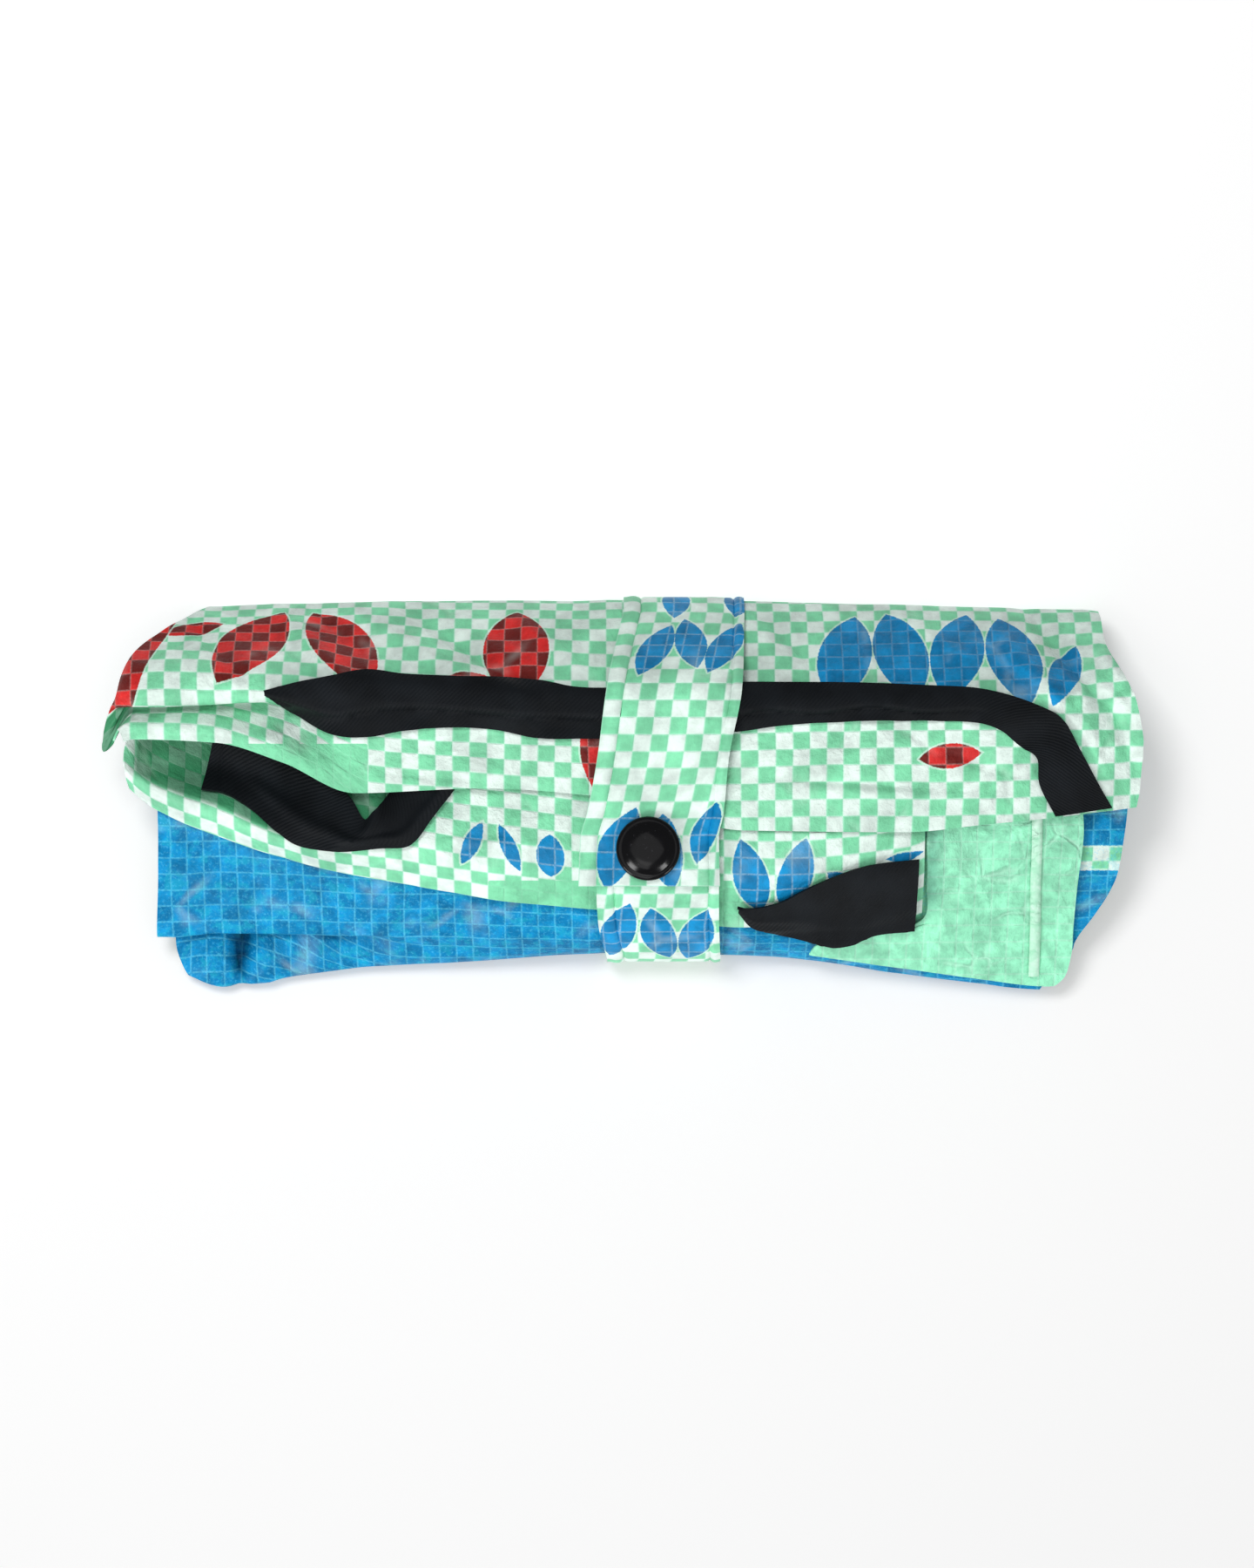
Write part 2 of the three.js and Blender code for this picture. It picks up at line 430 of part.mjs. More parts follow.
function baseFolds() {
  const sole = (x) => column(LIFT, 'sole', x);
  const ply = CLOTH + REST_GAP + 0.9;
  const fold = (left, right, steps, at) => ({ left, right, steps, at });
  const [brim, tuck, step] = ['brim', 'tuck', 'step'].map((name) => lineOf(BASE, name));
  const below = (name) => (x) => ({
    y: column(INNER, `${name}Y`, x), z: column(INNER, `${name}Z`, x) - ply });
  const half = (x) => ({
    y: mix(step(x).y, below('foot')(x).y, 0.5), z: mix(step(x).z, below('foot')(x).z, 0.5) + 0.4 });
  const beside = (turn, side, inward, from, to, share) => besideTurn(BASE, {
    turn, other: turn === tuck ? step : tuck, side, inward, from, to, share });
  const run = (y, name, share) => (x) => ({
    y, z: (column(INNER, name, x) - ply) * share + inWave(x, share) });
  const turn = (dy, share) => (x) => ({
    y: column(BASE, 'turnY', x) + dy,
    z: (column(INNER, 'footZ', x) - ply) * share + inWave(x, share) });
  const folds = [
    fold(-138, 150, 3, (x) => ({ y: SEAM_Y - 0.3, z: sole(x) })),
    fold(-138, 149, 2, (x) => ({ y: -35.0, z: sole(x) })),
    fold(-139, 140, 3, (x) => ({ y: column(BASE, 'noseY', x) + 7, z: sole(x) })),
    fold(-141, 136, 3, (x) => ({ y: column(BASE, 'noseY', x), z: 4.2 })),
    fold(-145, 138, 3, brim),
    fold(-145.5, 140, 2, beside(tuck, -1, -1, brim, tuck, 0.6)),
    fold(-146, 141, 2, tuck),
    fold(-147, 142, 2, beside(tuck, 1, -1, tuck, step, 0.35)),
    fold(-150.5, 146, 2, beside(step, -1, 1, tuck, step, 0.7)),
    fold(-151, 146.5, 2, step),
    fold(-151, 148, 2, beside(step, 1, 1, step, half, 0.3)),
    fold(-150, 153, 3, half),
    fold(-149.5, 158.5, 3, below('foot')),
    fold(-149, 161, 3, below('ridge')),
    fold(-149, 162, 3, below('floor')),
    fold(-149, 162, 2, run(22, 'throatZ', 1)),
    fold(-148, 161, 2, (x) => ({ y: 34, z: column(INNER, 'deepZ', x) - ply - 0.8 })),
  ];
  // Inside the roll the cloth goes back and forth; each row is one run between two turns
  INNER_RUNS.forEach(({ share, next, side }) => {
    const last = next === null;
    if (side === 'back') {
      folds.push(fold(-148, 160, 2, (x) => ({
        y: 38, z: run(34, 'deepZ', share + 0.08)(x).z })));
      folds.push(fold(-148, 160, 2, run(34, 'deepZ', share)));
      folds.push(fold(-148, 159, 1, run(15, 'throatZ', share)));
      folds.push(fold(-148, 158, 1, run(-4, 'floorZ', share)));
      folds.push(fold(-147, 156, 2, turn(4, share * 1.02)));
      if (!last) folds.push(fold(-147, 155, 2, turn(0, (share + next) / 2)));
    } else {
      folds.push(fold(-147, 154, 1, turn(4, share)));
      folds.push(fold(-147, 155, 1, run(-4, 'floorZ', share)));
      folds.push(fold(-147, 156, 1, run(15, 'throatZ', share)));
      folds.push(fold(-147, 157, 2, run(34, 'deepZ', share)));
    }
  });
  return folds;
}

function strapGrid() {
  const line = new THREE.CatmullRomCurve3(
    STRAP_LINE.map(({ y, z }) => new THREE.Vector3(0, y, z)), false, 'centripetal');
  const steps = 2 * (STRAP_LINE.length - 1);
  const edges = (point, t) => {
    const under = 15 / (STRAP_LINE.length - 1);
    const front = 19 / (STRAP_LINE.length - 1);
    const top = (name) => column(STRAP_TOP_EDGES, name, point.y);
    const lower = (name) => column(STRAP_LOWER_EDGES, name, point.y);
    if (t < under) return { left: top('left'), right: top('right') };
    if (t > front) return { left: lower('left'), right: lower('right') };
    const s = (t - under) / (front - under);
    return {
      left: mix(column(STRAP_TOP_EDGES, 'left', 58), STRAP_UNDER.left, s),
      right: mix(column(STRAP_TOP_EDGES, 'right', 58), STRAP_UNDER.right, s) };
  };
  const grid = [];
  for (let i = 0; i <= steps; i += 1) {
    const point = line.getPoint(i / steps);
    point.z = Math.max(point.z, STRAP / 2);
    const { left, right } = edges(point, i / steps);
    grid.push([0, 0.25, 0.5, 0.75, 1].map(
      (t) => new THREE.Vector3(mix(left, right, t), point.y, point.z)));
  }
  return grid;
}

function sidePanelGrid(grids) {
  const lift = CLOTH + REST_GAP + 0.4;
  const patch = 1.0;
  const curve = (nameX, nameY) => new THREE.CatmullRomCurve3(
    SIDE_PANEL.map((row) => new THREE.Vector3(row[nameX], row[nameY], 0)), false, 'centripetal');
  const left = curve('left', 'leftY');
  const right = curve('right', 'rightY');
  const steps = 3 * (SIDE_PANEL.length - 1);
  const across = 9;
  const grid = [];
  for (let j = 0; j <= across; j += 1) {
    const row = [];
    for (let i = 0; i <= steps; i += 1) {
      const point = left.getPoint(i / steps).lerp(right.getPoint(i / steps), j / across);
      point.y = Math.max(point.y, column(BASE, 'noseY', point.x) + 1.8 * (1 - i / steps) + 1.6);
      let carried = point.x;
      while (!Number.isFinite(restHeight(grids, carried, point.y, patch))) carried -= 1;
      point.z = restHeight(grids, carried, point.y, patch) + lift;
      row.push(point);
    }
    grid.push(row);
  }
  return grid;
}

function sideSeamGrid(panel) {
  const from = { x: 132.6, y: -6.5 };
  const to = { x: 133.4, y: -60.2 };
  const steps = 16;
  const halfWidth = 1.3;
  const lift = CLOTH + 0.9;
  const grid = [];
  for (let i = 0; i <= steps; i += 1) {
    const t = i / steps;
    grid.push([-halfWidth, 0, halfWidth].map((dx) => {
      const x = mix(from.x, to.x, t) + dx;
      const y = mix(from.y, to.y, t);
      return new THREE.Vector3(x, y, restHeight([panel], x, y, 0.9) + lift);
    }));
  }
  return grid;
}

function studGeometry() {
  const r = STUD_RADIUS;
  const h = STUD_HEIGHT;
  const profile = [
    [0, 0], [r * 0.8, 0], [r * 0.96, h * 0.1], [r, h * 0.26], [r * 0.97, h * 0.42],
    [r * 0.84, h * 0.66], [r * 0.62, h * 0.86], [r * 0.34, h * 0.97], [0, h],
  ].map(([x, y]) => new THREE.Vector2(x, y));
  const geometry = new THREE.LatheGeometry(profile, 24);
  geometry.rotateX(Math.PI / 2);
  return geometry;
}

function material(color, roughness, metalness = 0) {
  return new THREE.MeshStandardMaterial({ color, roughness, metalness });
}

const root = new THREE.Group();
root.position.set(-BOX_CENTRE.x, -BOX_CENTRE.y, 0);

function add(name, geometry, look) {
  const mesh = new THREE.Mesh(geometry, look);
  mesh.name = name;
  root.add(mesh);
  return mesh;
}

const outer = sectionGrid(outerFolds(), stations(28, 0.55));
const inner = sectionGrid(innerFolds(), stations(22, 0.35));
const base = sectionGrid(baseFolds(), stations(24, 0.3));
const side = sidePanelGrid([base]);
const seam = sideSeamGrid(side);
const onTape = CLOTH / 2 + TAPE / 2 + 0.6;
const front = tapeGrid(FRONT_HANDLE, [outer], onTape + 0.2, 0.4, 42, 4);
const backLeft = tapeGrid(BACK_HANDLE_LEFT, [inner], onTape - 0.1, 0.3, 30, 4);
const backRight = tapeGrid(BACK_HANDLE_RIGHT, [inner, base, side], onTape + 0.3, 1.0, 21, 4);

const checked = material(COLOUR.checked, 0.45);
const tape = material(COLOUR.tape, 0.9);
add('outer_panel', sheetGeometry(outer, CLOTH), checked);
add('inner_panel', sheetGeometry(inner, CLOTH), checked);
add('base_panel', sheetGeometry(base, CLOTH), material(COLOUR.blue, 0.45));
add('side_panel', sheetGeometry(side, CLOTH), material(COLOUR.green, 0.4));
add('side_seam', sheetGeometry(seam, CLOTH), material(COLOUR.green, 0.5));
add('closing_strap', sheetGeometry(strapGrid(), STRAP), checked);
add('handle_front', sheetGeometry(front, TAPE), tape);
add('handle_back_left', sheetGeometry(backLeft, TAPE), tape);
add('handle_back_right', sheetGeometry(backRight, TAPE), tape);
const stud = add('press_stud', studGeometry(), material(COLOUR.stud, 0.15));
stud.position.set(STUD_CENTRE.x, STUD_CENTRE.y, STUD_CENTRE.z);

export default root;
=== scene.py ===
# %% [markdown]
# # A rice sack shopping bag, rolled flat and strapped
#
# The bag is sewn from woven sack cloth: flat green and white plastic tapes, crossed in a plain weave, so
# that every crossing shows as a small square. It is folded into a long flat roll, two black tape handles
# lie across it, and a strap with a press stud holds it shut.
#
# Every sheet here is built the same way. A few fold lines run along the roll, each given by a short table,
# and a smooth curve through them is the section of the cloth at any place. This keeps each fold where the
# real one is and gives the cloth its own flat coordinates, in which the weave and the print are drawn.

# %% Load the frame
import bpy
import math
import numpy as np
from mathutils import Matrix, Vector
from mathutils.bvhtree import BVHTree


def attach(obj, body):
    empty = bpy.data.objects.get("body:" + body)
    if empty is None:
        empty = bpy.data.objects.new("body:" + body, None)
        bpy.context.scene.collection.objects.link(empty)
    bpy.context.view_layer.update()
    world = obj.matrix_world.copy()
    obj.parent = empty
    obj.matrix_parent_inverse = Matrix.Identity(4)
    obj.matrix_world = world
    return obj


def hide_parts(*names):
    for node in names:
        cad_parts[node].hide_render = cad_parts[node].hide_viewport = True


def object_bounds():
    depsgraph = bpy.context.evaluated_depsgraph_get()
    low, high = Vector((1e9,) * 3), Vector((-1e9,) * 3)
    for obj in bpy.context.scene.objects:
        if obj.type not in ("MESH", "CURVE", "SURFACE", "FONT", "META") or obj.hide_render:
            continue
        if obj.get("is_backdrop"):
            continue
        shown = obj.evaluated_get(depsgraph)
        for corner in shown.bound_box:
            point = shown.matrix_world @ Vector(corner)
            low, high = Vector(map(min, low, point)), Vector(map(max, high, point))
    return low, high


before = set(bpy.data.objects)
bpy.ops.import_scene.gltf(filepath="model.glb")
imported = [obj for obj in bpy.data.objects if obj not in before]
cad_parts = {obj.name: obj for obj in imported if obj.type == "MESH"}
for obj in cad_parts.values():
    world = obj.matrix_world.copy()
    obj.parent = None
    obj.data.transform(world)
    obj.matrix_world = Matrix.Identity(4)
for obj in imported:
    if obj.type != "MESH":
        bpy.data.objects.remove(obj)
cad_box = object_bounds()
MM = 0.001
BOX_CENTRE = np.array([0.01, 0.45, 0.0])
print("nodes", sorted(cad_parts))

# %% [markdown]
# ## Camera
#
# The bag was seen from straight above. A long lens from 1.3 m keeps the sides of the roll almost hidden,
# as they are in the picture. The frame is 504 mm tall where it meets the middle of the bag.

# %% Camera above the bag
FRAME_HEIGHT = 504.0
CAMERA_HEIGHT = 1300.0
LOOK_AT = (1.4, 1.8, 24.0)
SENSOR = 36.0


def add_object(name, data):
    thing = bpy.data.objects.new(name, data)
    bpy.context.scene.collection.objects.link(thing)
    return thing


camera_data = bpy.data.cameras.new("camera")
camera_data.sensor_width = SENSOR
camera_data.lens = SENSOR * CAMERA_HEIGHT / FRAME_HEIGHT
camera = add_object("camera", camera_data)
camera.location = Vector((LOOK_AT[0], LOOK_AT[1], LOOK_AT[2] + CAMERA_HEIGHT)) * MM
bpy.context.scene.camera = camera
print("lens", round(camera_data.lens, 1), "mm")

# %% [markdown]
# ## Tables and smooth columns
#
# A table names its columns in the first line. A value between two rows follows a cubic that never
# overshoots them, so a fold line has no ripples that nobody asked for.

# %% Read a table, and read a column at any place
def table(text):
    head, *rows = [line.split() for line in text.strip().splitlines()]
    values = np.array(rows, float)
    return {name: values[:, k] for k, name in enumerate(head)}


def column(rows, name, x):
    places, values = rows["x"], rows[name]
    x = np.clip(np.asarray(x, float), places[0], places[-1])
    rise = np.diff(values) / np.diff(places)
    product = rise[:-1] * rise[1:]
    total = np.where(product > 0, rise[:-1] + rise[1:], 1.0)
    middle = np.where(product > 0, 2 * product / total, 0.0)
    slope = np.concatenate([rise[:1], middle, rise[-1:]])
    i = np.clip(np.searchsorted(places, x, side="right") - 1, 0, len(places) - 2)
    h = places[i + 1] - places[i]
    t = (x - places[i]) / h
    return ((2 * t**3 - 3 * t**2 + 1) * values[i] + (t**3 - 2 * t**2 + t) * h * slope[i]
            + (3 * t**2 - 2 * t**3) * values[i + 1] + (t**3 - t**2) * h * slope[i + 1])


def mix(a, b, t):
    return a + (b - a) * t


def line_of(rows, name):
    return lambda x: (column(rows, name + "Y", x), column(rows, name + "Z", x))


print("a column between its rows", column(table("x y \n 0 0 \n 1 2"), "y", 0.5))

# %% The fold lines of the three large sheets, in millimetres
CLOTH = 0.7
SEAM_Y = 20.0
REST = 2.4

OUTER = table("""
     x   hemY  hemZ  lipY  lipZ tuckY tuckZ creaseY creaseZ crownY crownZ backY pleat
  -166    9.0  29.0   9.0  26.5  15.0  26.0    26.5    30.5   36.0   31.5  57.0   0.3
  -156   16.6  36.2  25.5  30.4  32.0  32.6    27.2    36.2   37.0   37.0  58.6   1
  -130   15.5  37.6  27.0  30.8  34.5  33.4    28.3    37.6   37.5   38.6  59.4   1
  -108    9.0  38.2  25.5  31.8  32.5  34.2    28.8    38.4   37.0   39.4  60.0   1
   -85   -0.6  38.8  12.9  39.0  19.0  39.4    25.0    39.9   34.0   40.2  60.4   0
   -45    0.8  39.5  10.0  39.9  15.0  40.0    21.0    40.2   31.0   40.6  61.4   0
    -5   -2.0  39.2   6.0  40.0  11.0  40.2    18.0    40.3   30.0   40.4  61.4   0
    38  -12.4  38.8   2.0  39.9   7.0  40.0    14.0    40.2   29.0   40.4  61.2   0
    90  -13.0  38.2  -1.0  38.9   5.0  39.2    13.0    39.6   30.0   40.0  60.0   0
   115  -10.6  36.6   1.0  37.9   7.0  38.5    14.0    39.0   30.0   39.5  59.0   0
   140   -8.1  34.6   3.0  36.5   9.0  37.4    15.0    38.0   30.0   38.8  58.4   0
   165   -5.0  31.6   6.0  34.0  11.0  35.4    16.0    36.5   30.0   37.0  57.0   0
""")
INNER = table("""
     x  deepZ throatZ floorY floorZ ridgeY ridgeZ  footY footZ
  -165   29.0    30.0   14.0   30.5   11.0   31.0    8.0  27.0
  -150   30.0    27.0   10.0   26.5    1.0   31.5   -5.5  25.5
  -130   31.0    26.5    7.0   24.5   -6.0   31.5  -14.0  25.5
  -108   32.0    29.0    2.5   27.5  -15.0   33.5  -21.5  26.0
   -85   34.0    33.0    0.0   32.5  -18.5   35.3  -27.0  26.5
   -45   35.5    35.3    0.0   35.5  -21.0   35.9  -34.0  27.0
    -5   36.0    36.7   -2.0   36.8  -24.0   36.4  -38.5  26.0
    38   36.0    36.6   -4.0   36.7  -26.0   36.0  -43.5  22.5
    90   35.5    36.0   -3.0   35.8  -24.0   33.0  -41.0  21.0
   115   35.0    35.0   -1.0   34.0  -15.0   31.0  -32.0  22.5
   140   34.0    34.0    0.0   32.6  -15.0   29.5  -30.0  22.5
   165   32.0    31.5    0.0   30.0  -15.0   27.0  -30.0  20.5
""")
BASE = table("""
     x  noseY brimY brimZ tuckY tuckZ stepY stepZ turnY pleat
  -165  -50.0 -47.0   7.4 -38.0   8.8 -47.2  11.4 -20.0   1
  -145  -58.0 -51.5   7.4 -36.0   8.8 -46.9  11.4 -21.0   1
  -130  -63.4 -55.0   7.6 -35.0   9.0 -45.9  11.6 -22.0   1
  -108  -60.0 -53.0   8.0 -38.0   9.4 -45.9  12.0 -24.0   1
   -85  -57.0 -53.2   9.0 -45.0  10.8 -46.5  14.0 -28.0   0.5
   -60  -55.6 -53.8   9.2 -50.4  12.2 -47.0  17.0 -33.0   0
    -5  -52.4 -52.2   9.6 -51.0  13.8 -48.0  18.4 -36.0   0
    38  -52.8 -52.6   8.6 -51.4  12.2 -49.0  16.6 -37.0   0
    90  -59.0 -57.6   7.6 -54.4  10.2 -49.8  13.6 -35.0   0
   115  -62.4 -60.2   7.0 -56.0   9.4 -50.0  12.8 -31.0   0
   140  -65.0 -61.8   6.6 -56.6   9.0 -49.6  12.4 -29.0   0
   165  -60.0 -57.0   6.6 -52.8   9.0 -48.0  12.2 -27.0   0
""")
LIFT = table("""
    x        sole
  -60        0.5
  -24        2.3
   50        2.3
   86        0.5
""")
print("outer rows", len(OUTER["x"]), "inner rows", len(INNER["x"]), "base rows", len(BASE["x"]))

# %% [markdown]
# ## From fold lines to a surface
#
# A centripetal curve passes through the fold lines of one section without loops, even where two of them
# lie close together. Sampling it more finely than the folds need leaves room for wrinkles.

# %% A smooth surface through fold lines
def curve_between(p0, p1, p2, p3, t):
    spans = [np.linalg.norm(b - a, axis=-1, keepdims=True) ** 0.5
             for a, b in ((p0, p1), (p1, p2), (p2, p3))]
    d1 = np.maximum(spans[1], 1e-4)
    d0 = np.where(spans[0] < 1e-4, d1, spans[0])
    d2 = np.where(spans[2] < 1e-4, d1, spans[2])
    m1 = ((p1 - p0) / d0 - (p2 - p0) / (d0 + d1) + (p2 - p1) / d1) * d1
    m2 = ((p2 - p1) / d1 - (p3 - p1) / (d1 + d2) + (p3 - p2) / d2) * d1
    return (p1 + m1 * t + (3 * (p2 - p1) - 2 * m1 - m2) * t**2 + (2 * (p1 - p2) + m1 + m2) * t**3)


def fold_surface(folds, stations, pitch):
    keys = []
    for left, right, at in folds:
        x = mix(left, right, stations)
        y, z = at(x)
        keys.append(np.stack([x, np.broadcast_to(y, x.shape), np.broadcast_to(z, x.shape)], -1))
    keys = [2 * keys[0] - keys[1]] + keys + [2 * keys[-1] - keys[-2]]
    rows, marks = [], []
    for k in range(1, len(keys) - 2):
        length = np.linalg.norm(keys[k + 1] - keys[k], axis=-1).max()
        steps = max(2, math.ceil(length / pitch(k - 1)))
        for j in range(steps):
            rows.append(curve_between(*keys[k - 1:k + 3], j / steps))
            marks.append(k - 1 + j / steps)
    rows.append(keys[-2])
    marks.append(len(keys) - 3)
    grid = np.stack(rows, 1)
    grid[..., 2] = np.maximum(grid[..., 2], column(LIFT, "sole", grid[..., 0]))
    return grid, np.array(marks, float)


def even_stations(length, pitch):
    return np.linspace(0, 1, math.ceil(length / pitch) + 1)


def normals_of(grid):
    normal = np.cross(np.gradient(grid, axis=0), np.gradient(grid, axis=1))
    return normal / np.maximum(np.linalg.norm(normal, axis=-1, keepdims=True), 1e-9)


print("stations along 330 mm at a pitch of 1.3 mm:", len(even_stations(330, 1.3)))

# %% [markdown]
# ## Wrinkles
#
# Stiff plastic cloth doesn't drape softly. It keeps flat facets with fine ridges between them, and longer
# creases where it was folded before. Value noise makes the waves, folded noise the ridges, and a short
# table places the creases that the eye would miss.

# %% Noise waves, sharp ridges and placed creases
def waves(x, y, size, seed):
    lattice = np.random.default_rng(seed).uniform(-1, 1, (64, 64))
    gx, gy = x / size + 300, y / size + 300
    ix, iy = np.floor(gx).astype(int), np.floor(gy).astype(int)
    fx, fy = gx - ix, gy - iy
    sx, sy = fx * fx * (3 - 2 * fx), fy * fy * (3 - 2 * fy)
    corner = lambda a, b: lattice[(ix + a) % 64, (iy + b) % 64]
    return mix(mix(corner(0, 0), corner(1, 0), sx), mix(corner(0, 1), corner(1, 1), sx), sy)


def ridges(x, y, size, seed):
    return 1 - 2 * np.abs(waves(x, y, size, seed))


def bell(value, middle, width):
    return np.exp(-((value - middle) / width) ** 2)


def creases(x, y, rows):
    total = np.zeros_like(x)
    for x0, y0, x1, y1, depth, width in zip(*rows.values()):
        dx, dy = x1 - x0, y1 - y0
        t = np.clip(((x - x0) * dx + (y - y0) * dy) / (dx * dx + dy * dy), 0, 1)
        away = np.hypot(x - x0 - t * dx, y - y0 - t * dy)
        fade = np.sin(np.pi * np.clip(t, 0.02, 0.98)) ** 0.5
        total += depth * fade * bell(away, 0, width)
    return total


print("a ridge, seen at five places", np.round(ridges(np.arange(5.0), np.zeros(5), 8, 3), 2))

# %% [markdown]
# ## From a surface to a solid sheet
#
# Each sheet is closed: an upper face, an under face and a rim. The printed face takes the first material
# and the bare face the second. The map stores millimetres of flat cloth, measured along the real surface,
# so the squares of the weave keep their size and shorten only where the cloth turns away from the eye.

# %% Build a closed sheet
PIECES = {}


def cut_size(grid):
    lengths = [np.linalg.norm(np.diff(grid, axis=k), axis=-1).sum(k).mean() for k in (0, 1)]
    return tuple(round(float(length) * MM, 3) for length in lengths)


def flat_map(grid, anchor):
    along = np.linalg.norm(np.diff(grid, axis=1), axis=-1)
    length = np.concatenate([np.zeros((len(grid), 1)), np.cumsum(along, 1)], 1)
    return np.stack([grid[..., 0], length - length[:, anchor:anchor + 1]], -1)


def smooth_but(mesh, sharp_angle):
    mesh.polygons.foreach_set("use_smooth", np.ones(len(mesh.polygons), bool))
    mesh.set_sharp_from_angle(angle=math.radians(sharp_angle))


def mesh_of(name, points, faces, uvs, materials, slots, masks):
    mesh = bpy.data.meshes.new(name + "-look")
    mesh.from_pydata(((points - BOX_CENTRE) * MM).tolist(), [], faces.tolist())
    layer = mesh.uv_layers.new(name="cloth")
    corners = np.empty(len(mesh.loops), np.int32)
    mesh.loops.foreach_get("vertex_index", corners)
    layer.data.foreach_set("uv", uvs[corners].astype(np.float32).ravel())
    for material in materials:
        mesh.materials.append(material)
    mesh.polygons.foreach_set("material_index", slots)
    for label, mask in masks.items():
        values = np.tile(mask.ravel(), 2).astype(np.float32)
        mesh.attributes.new(label, "FLOAT", "POINT").data.foreach_set("value", values)
    smooth_but(mesh, 48)
    mesh.update()
    piece = PIECES[name] = add_object(name + "-look", mesh)
    print(name, len(faces), "faces")
    return piece


def sheet_solid(name, grid, uv, thickness, materials, printed_up=True, **masks):
    rows, cols = grid.shape[:2]
    half = np.broadcast_to(np.asarray(thickness, float) / 2, (rows, cols))[..., None]
    normal = normals_of(grid)
    points = np.concatenate([(grid + normal * half).reshape(-1, 3), (grid - normal * half).reshape(-1, 3)])
    index = np.arange(rows * cols).reshape(rows, cols)
    upper = np.stack([index[:-1, :-1], index[1:, :-1], index[1:, 1:], index[:-1, 1:]], -1).reshape(-1, 4)
    under = upper[:, ::-1] + rows * cols
    rim = np.concatenate([index[:-1, 0], index[-1, :-1], index[:0:-1, -1], index[0, :0:-1]])
    after = np.roll(rim, -1)
    edge = np.stack([after, rim, rim + rows * cols, after + rows * cols], -1)
    faces = np.concatenate([upper, under, edge])
    front, back = (0, 1) if printed_up else (1, 0)
    slots = np.repeat([front, back, 0], [len(upper), len(under), len(edge)]).astype(np.int32)
    flat = uv.reshape(-1, 2)
    return mesh_of(name, points, faces, np.concatenate([flat, flat]), materials, slots, masks)


def tree_of(*grids):
    points, faces = [], []
    for grid in grids:
        rows, cols = grid.shape[:2]
        index = np.arange(rows * cols).reshape(rows, cols) + len(points)
        quads = np.stack([index[:-1, :-1], index[1:, :-1], index[1:, 1:], index[:-1, 1:]], -1)
        points += grid.reshape(-1, 3).tolist()
        faces += quads.reshape(-1, 4).tolist()
    return BVHTree.FromPolygons(points, faces)


def height_over(tree, x, y):
    hit = tree.ray_cast(Vector((x, y, 200.0)), Vector((0, 0, -1)))[0]
    return -math.inf if hit is None else hit.z


def rest_height(tree, x, y, patch):
    around = ((0, 0), (patch, 0), (-patch, 0), (0, patch), (0, -patch))
    return max(height_over(tree, x + dx, y + dy) for dx, dy in around)


test_sheet = np.array([[[0.0, 0.0, 5.0], [30.0, 0.0, 5.0]], [[0.0, 20.0, 5.0], [30.0, 20.0, 5.0]]])
print("a flat test sheet is cut to", cut_size(test_sheet), "metres")

# %% [markdown]
# ## Colours
#
# Colours are mixed from what such sacks use: mint green and milk white tapes, a cyan blue and a signal
# red ink, black cotton tape. Blender works in linear light, so each hex value is converted once.

# %% Colours of cloth, ink, tape and stud
def linear(code):
    parts = [int(code[k:k + 2], 16) / 255 for k in (1, 3, 5)]
    return tuple(c / 12.92 if c <= 0.04045 else ((c + 0.055) / 1.055) ** 2.4 for c in parts) + (1.0,)


GREEN = linear("#82DBAC")
LIGHT_GREEN = linear("#96EBC2")
WHITE = linear("#E1F2EA")
PALE_GREEN = linear("#B5EFD3")
BLUE_INK = linear("#0D8BC6"), linear("#077CB4")
BLUE_GAP = linear("#62CDEE")
BLUE_SPECK = linear("#58BFE4")
TEAL = linear("#1FA0AE")
RED_INK = linear("#D52C2B"), linear("#6B1E1B")
# The bare side's green and white are darker than the tapes' own: partly the unprinted side, partly painted
# shade.
BARE_GREEN_AND_SHADE = linear("#3B8A60")
BARE_WHITE_AND_SHADE = linear("#5F9678")
DEEP_SHADE = (0.12, 0.2, 0.25, 1.0)
LINT_GREY = linear("#4A4E55")
TAPE_FADED = linear("#13171B")
TAPE_BLACK = linear("#0A0D10")
STUD_BLACK = linear("#0B0B0D")
print("green", [round(c, 3) for c in GREEN[:3]])

# %% [markdown]
# ## Shader groups
#
# The weave, the print and the crumpling show on many pieces, so each is a node group with named sockets,
# built once. A small helper adds a node and fills its inputs, with a value or with another node's output.

# %% Helpers for node trees
def put(tree, kind, inputs=None, **settings):
    node = tree.nodes.new(kind)
    for name, value in settings.items():
        setattr(node, name, value)
    for name, value in (inputs or {}).items():
        if isinstance(value, bpy.types.NodeSocket):
            tree.links.new(value, node.inputs[name])
        else:
            node.inputs[name].default_value = value
    return node


def sum_up(tree, operation, *values):
    return put(tree, "ShaderNodeMath", dict(enumerate(values)), operation=operation).outputs[0]


def vector_sum(tree, operation, *values):
    return put(tree, "ShaderNodeVectorMath", dict(enumerate(values)), operation=operation).outputs[0]


def scaled(tree, vector, factor):
    inputs = {0: vector, "Scale": factor}
    return put(tree, "ShaderNodeVectorMath", inputs, operation="SCALE").outputs[0]


def noise(tree, place, scale, detail, roughness=0.5):
    inputs = {"Vector": place, "Scale": scale, "Detail": detail, "Roughness": roughness}
    return put(tree, "ShaderNodeTexNoise", inputs).outputs


def bump_up(tree, shader, height, strength=0.9):
    bump = put(tree, "ShaderNodeBump", {"Height": height, "Strength": strength, "Distance": MM})
    tree.links.new(bump.outputs["Normal"], shader.inputs["Normal"])


def cloth_place(tree):
    return put(tree, "ShaderNodeUVMap", uv_map="cloth").outputs["UV"]


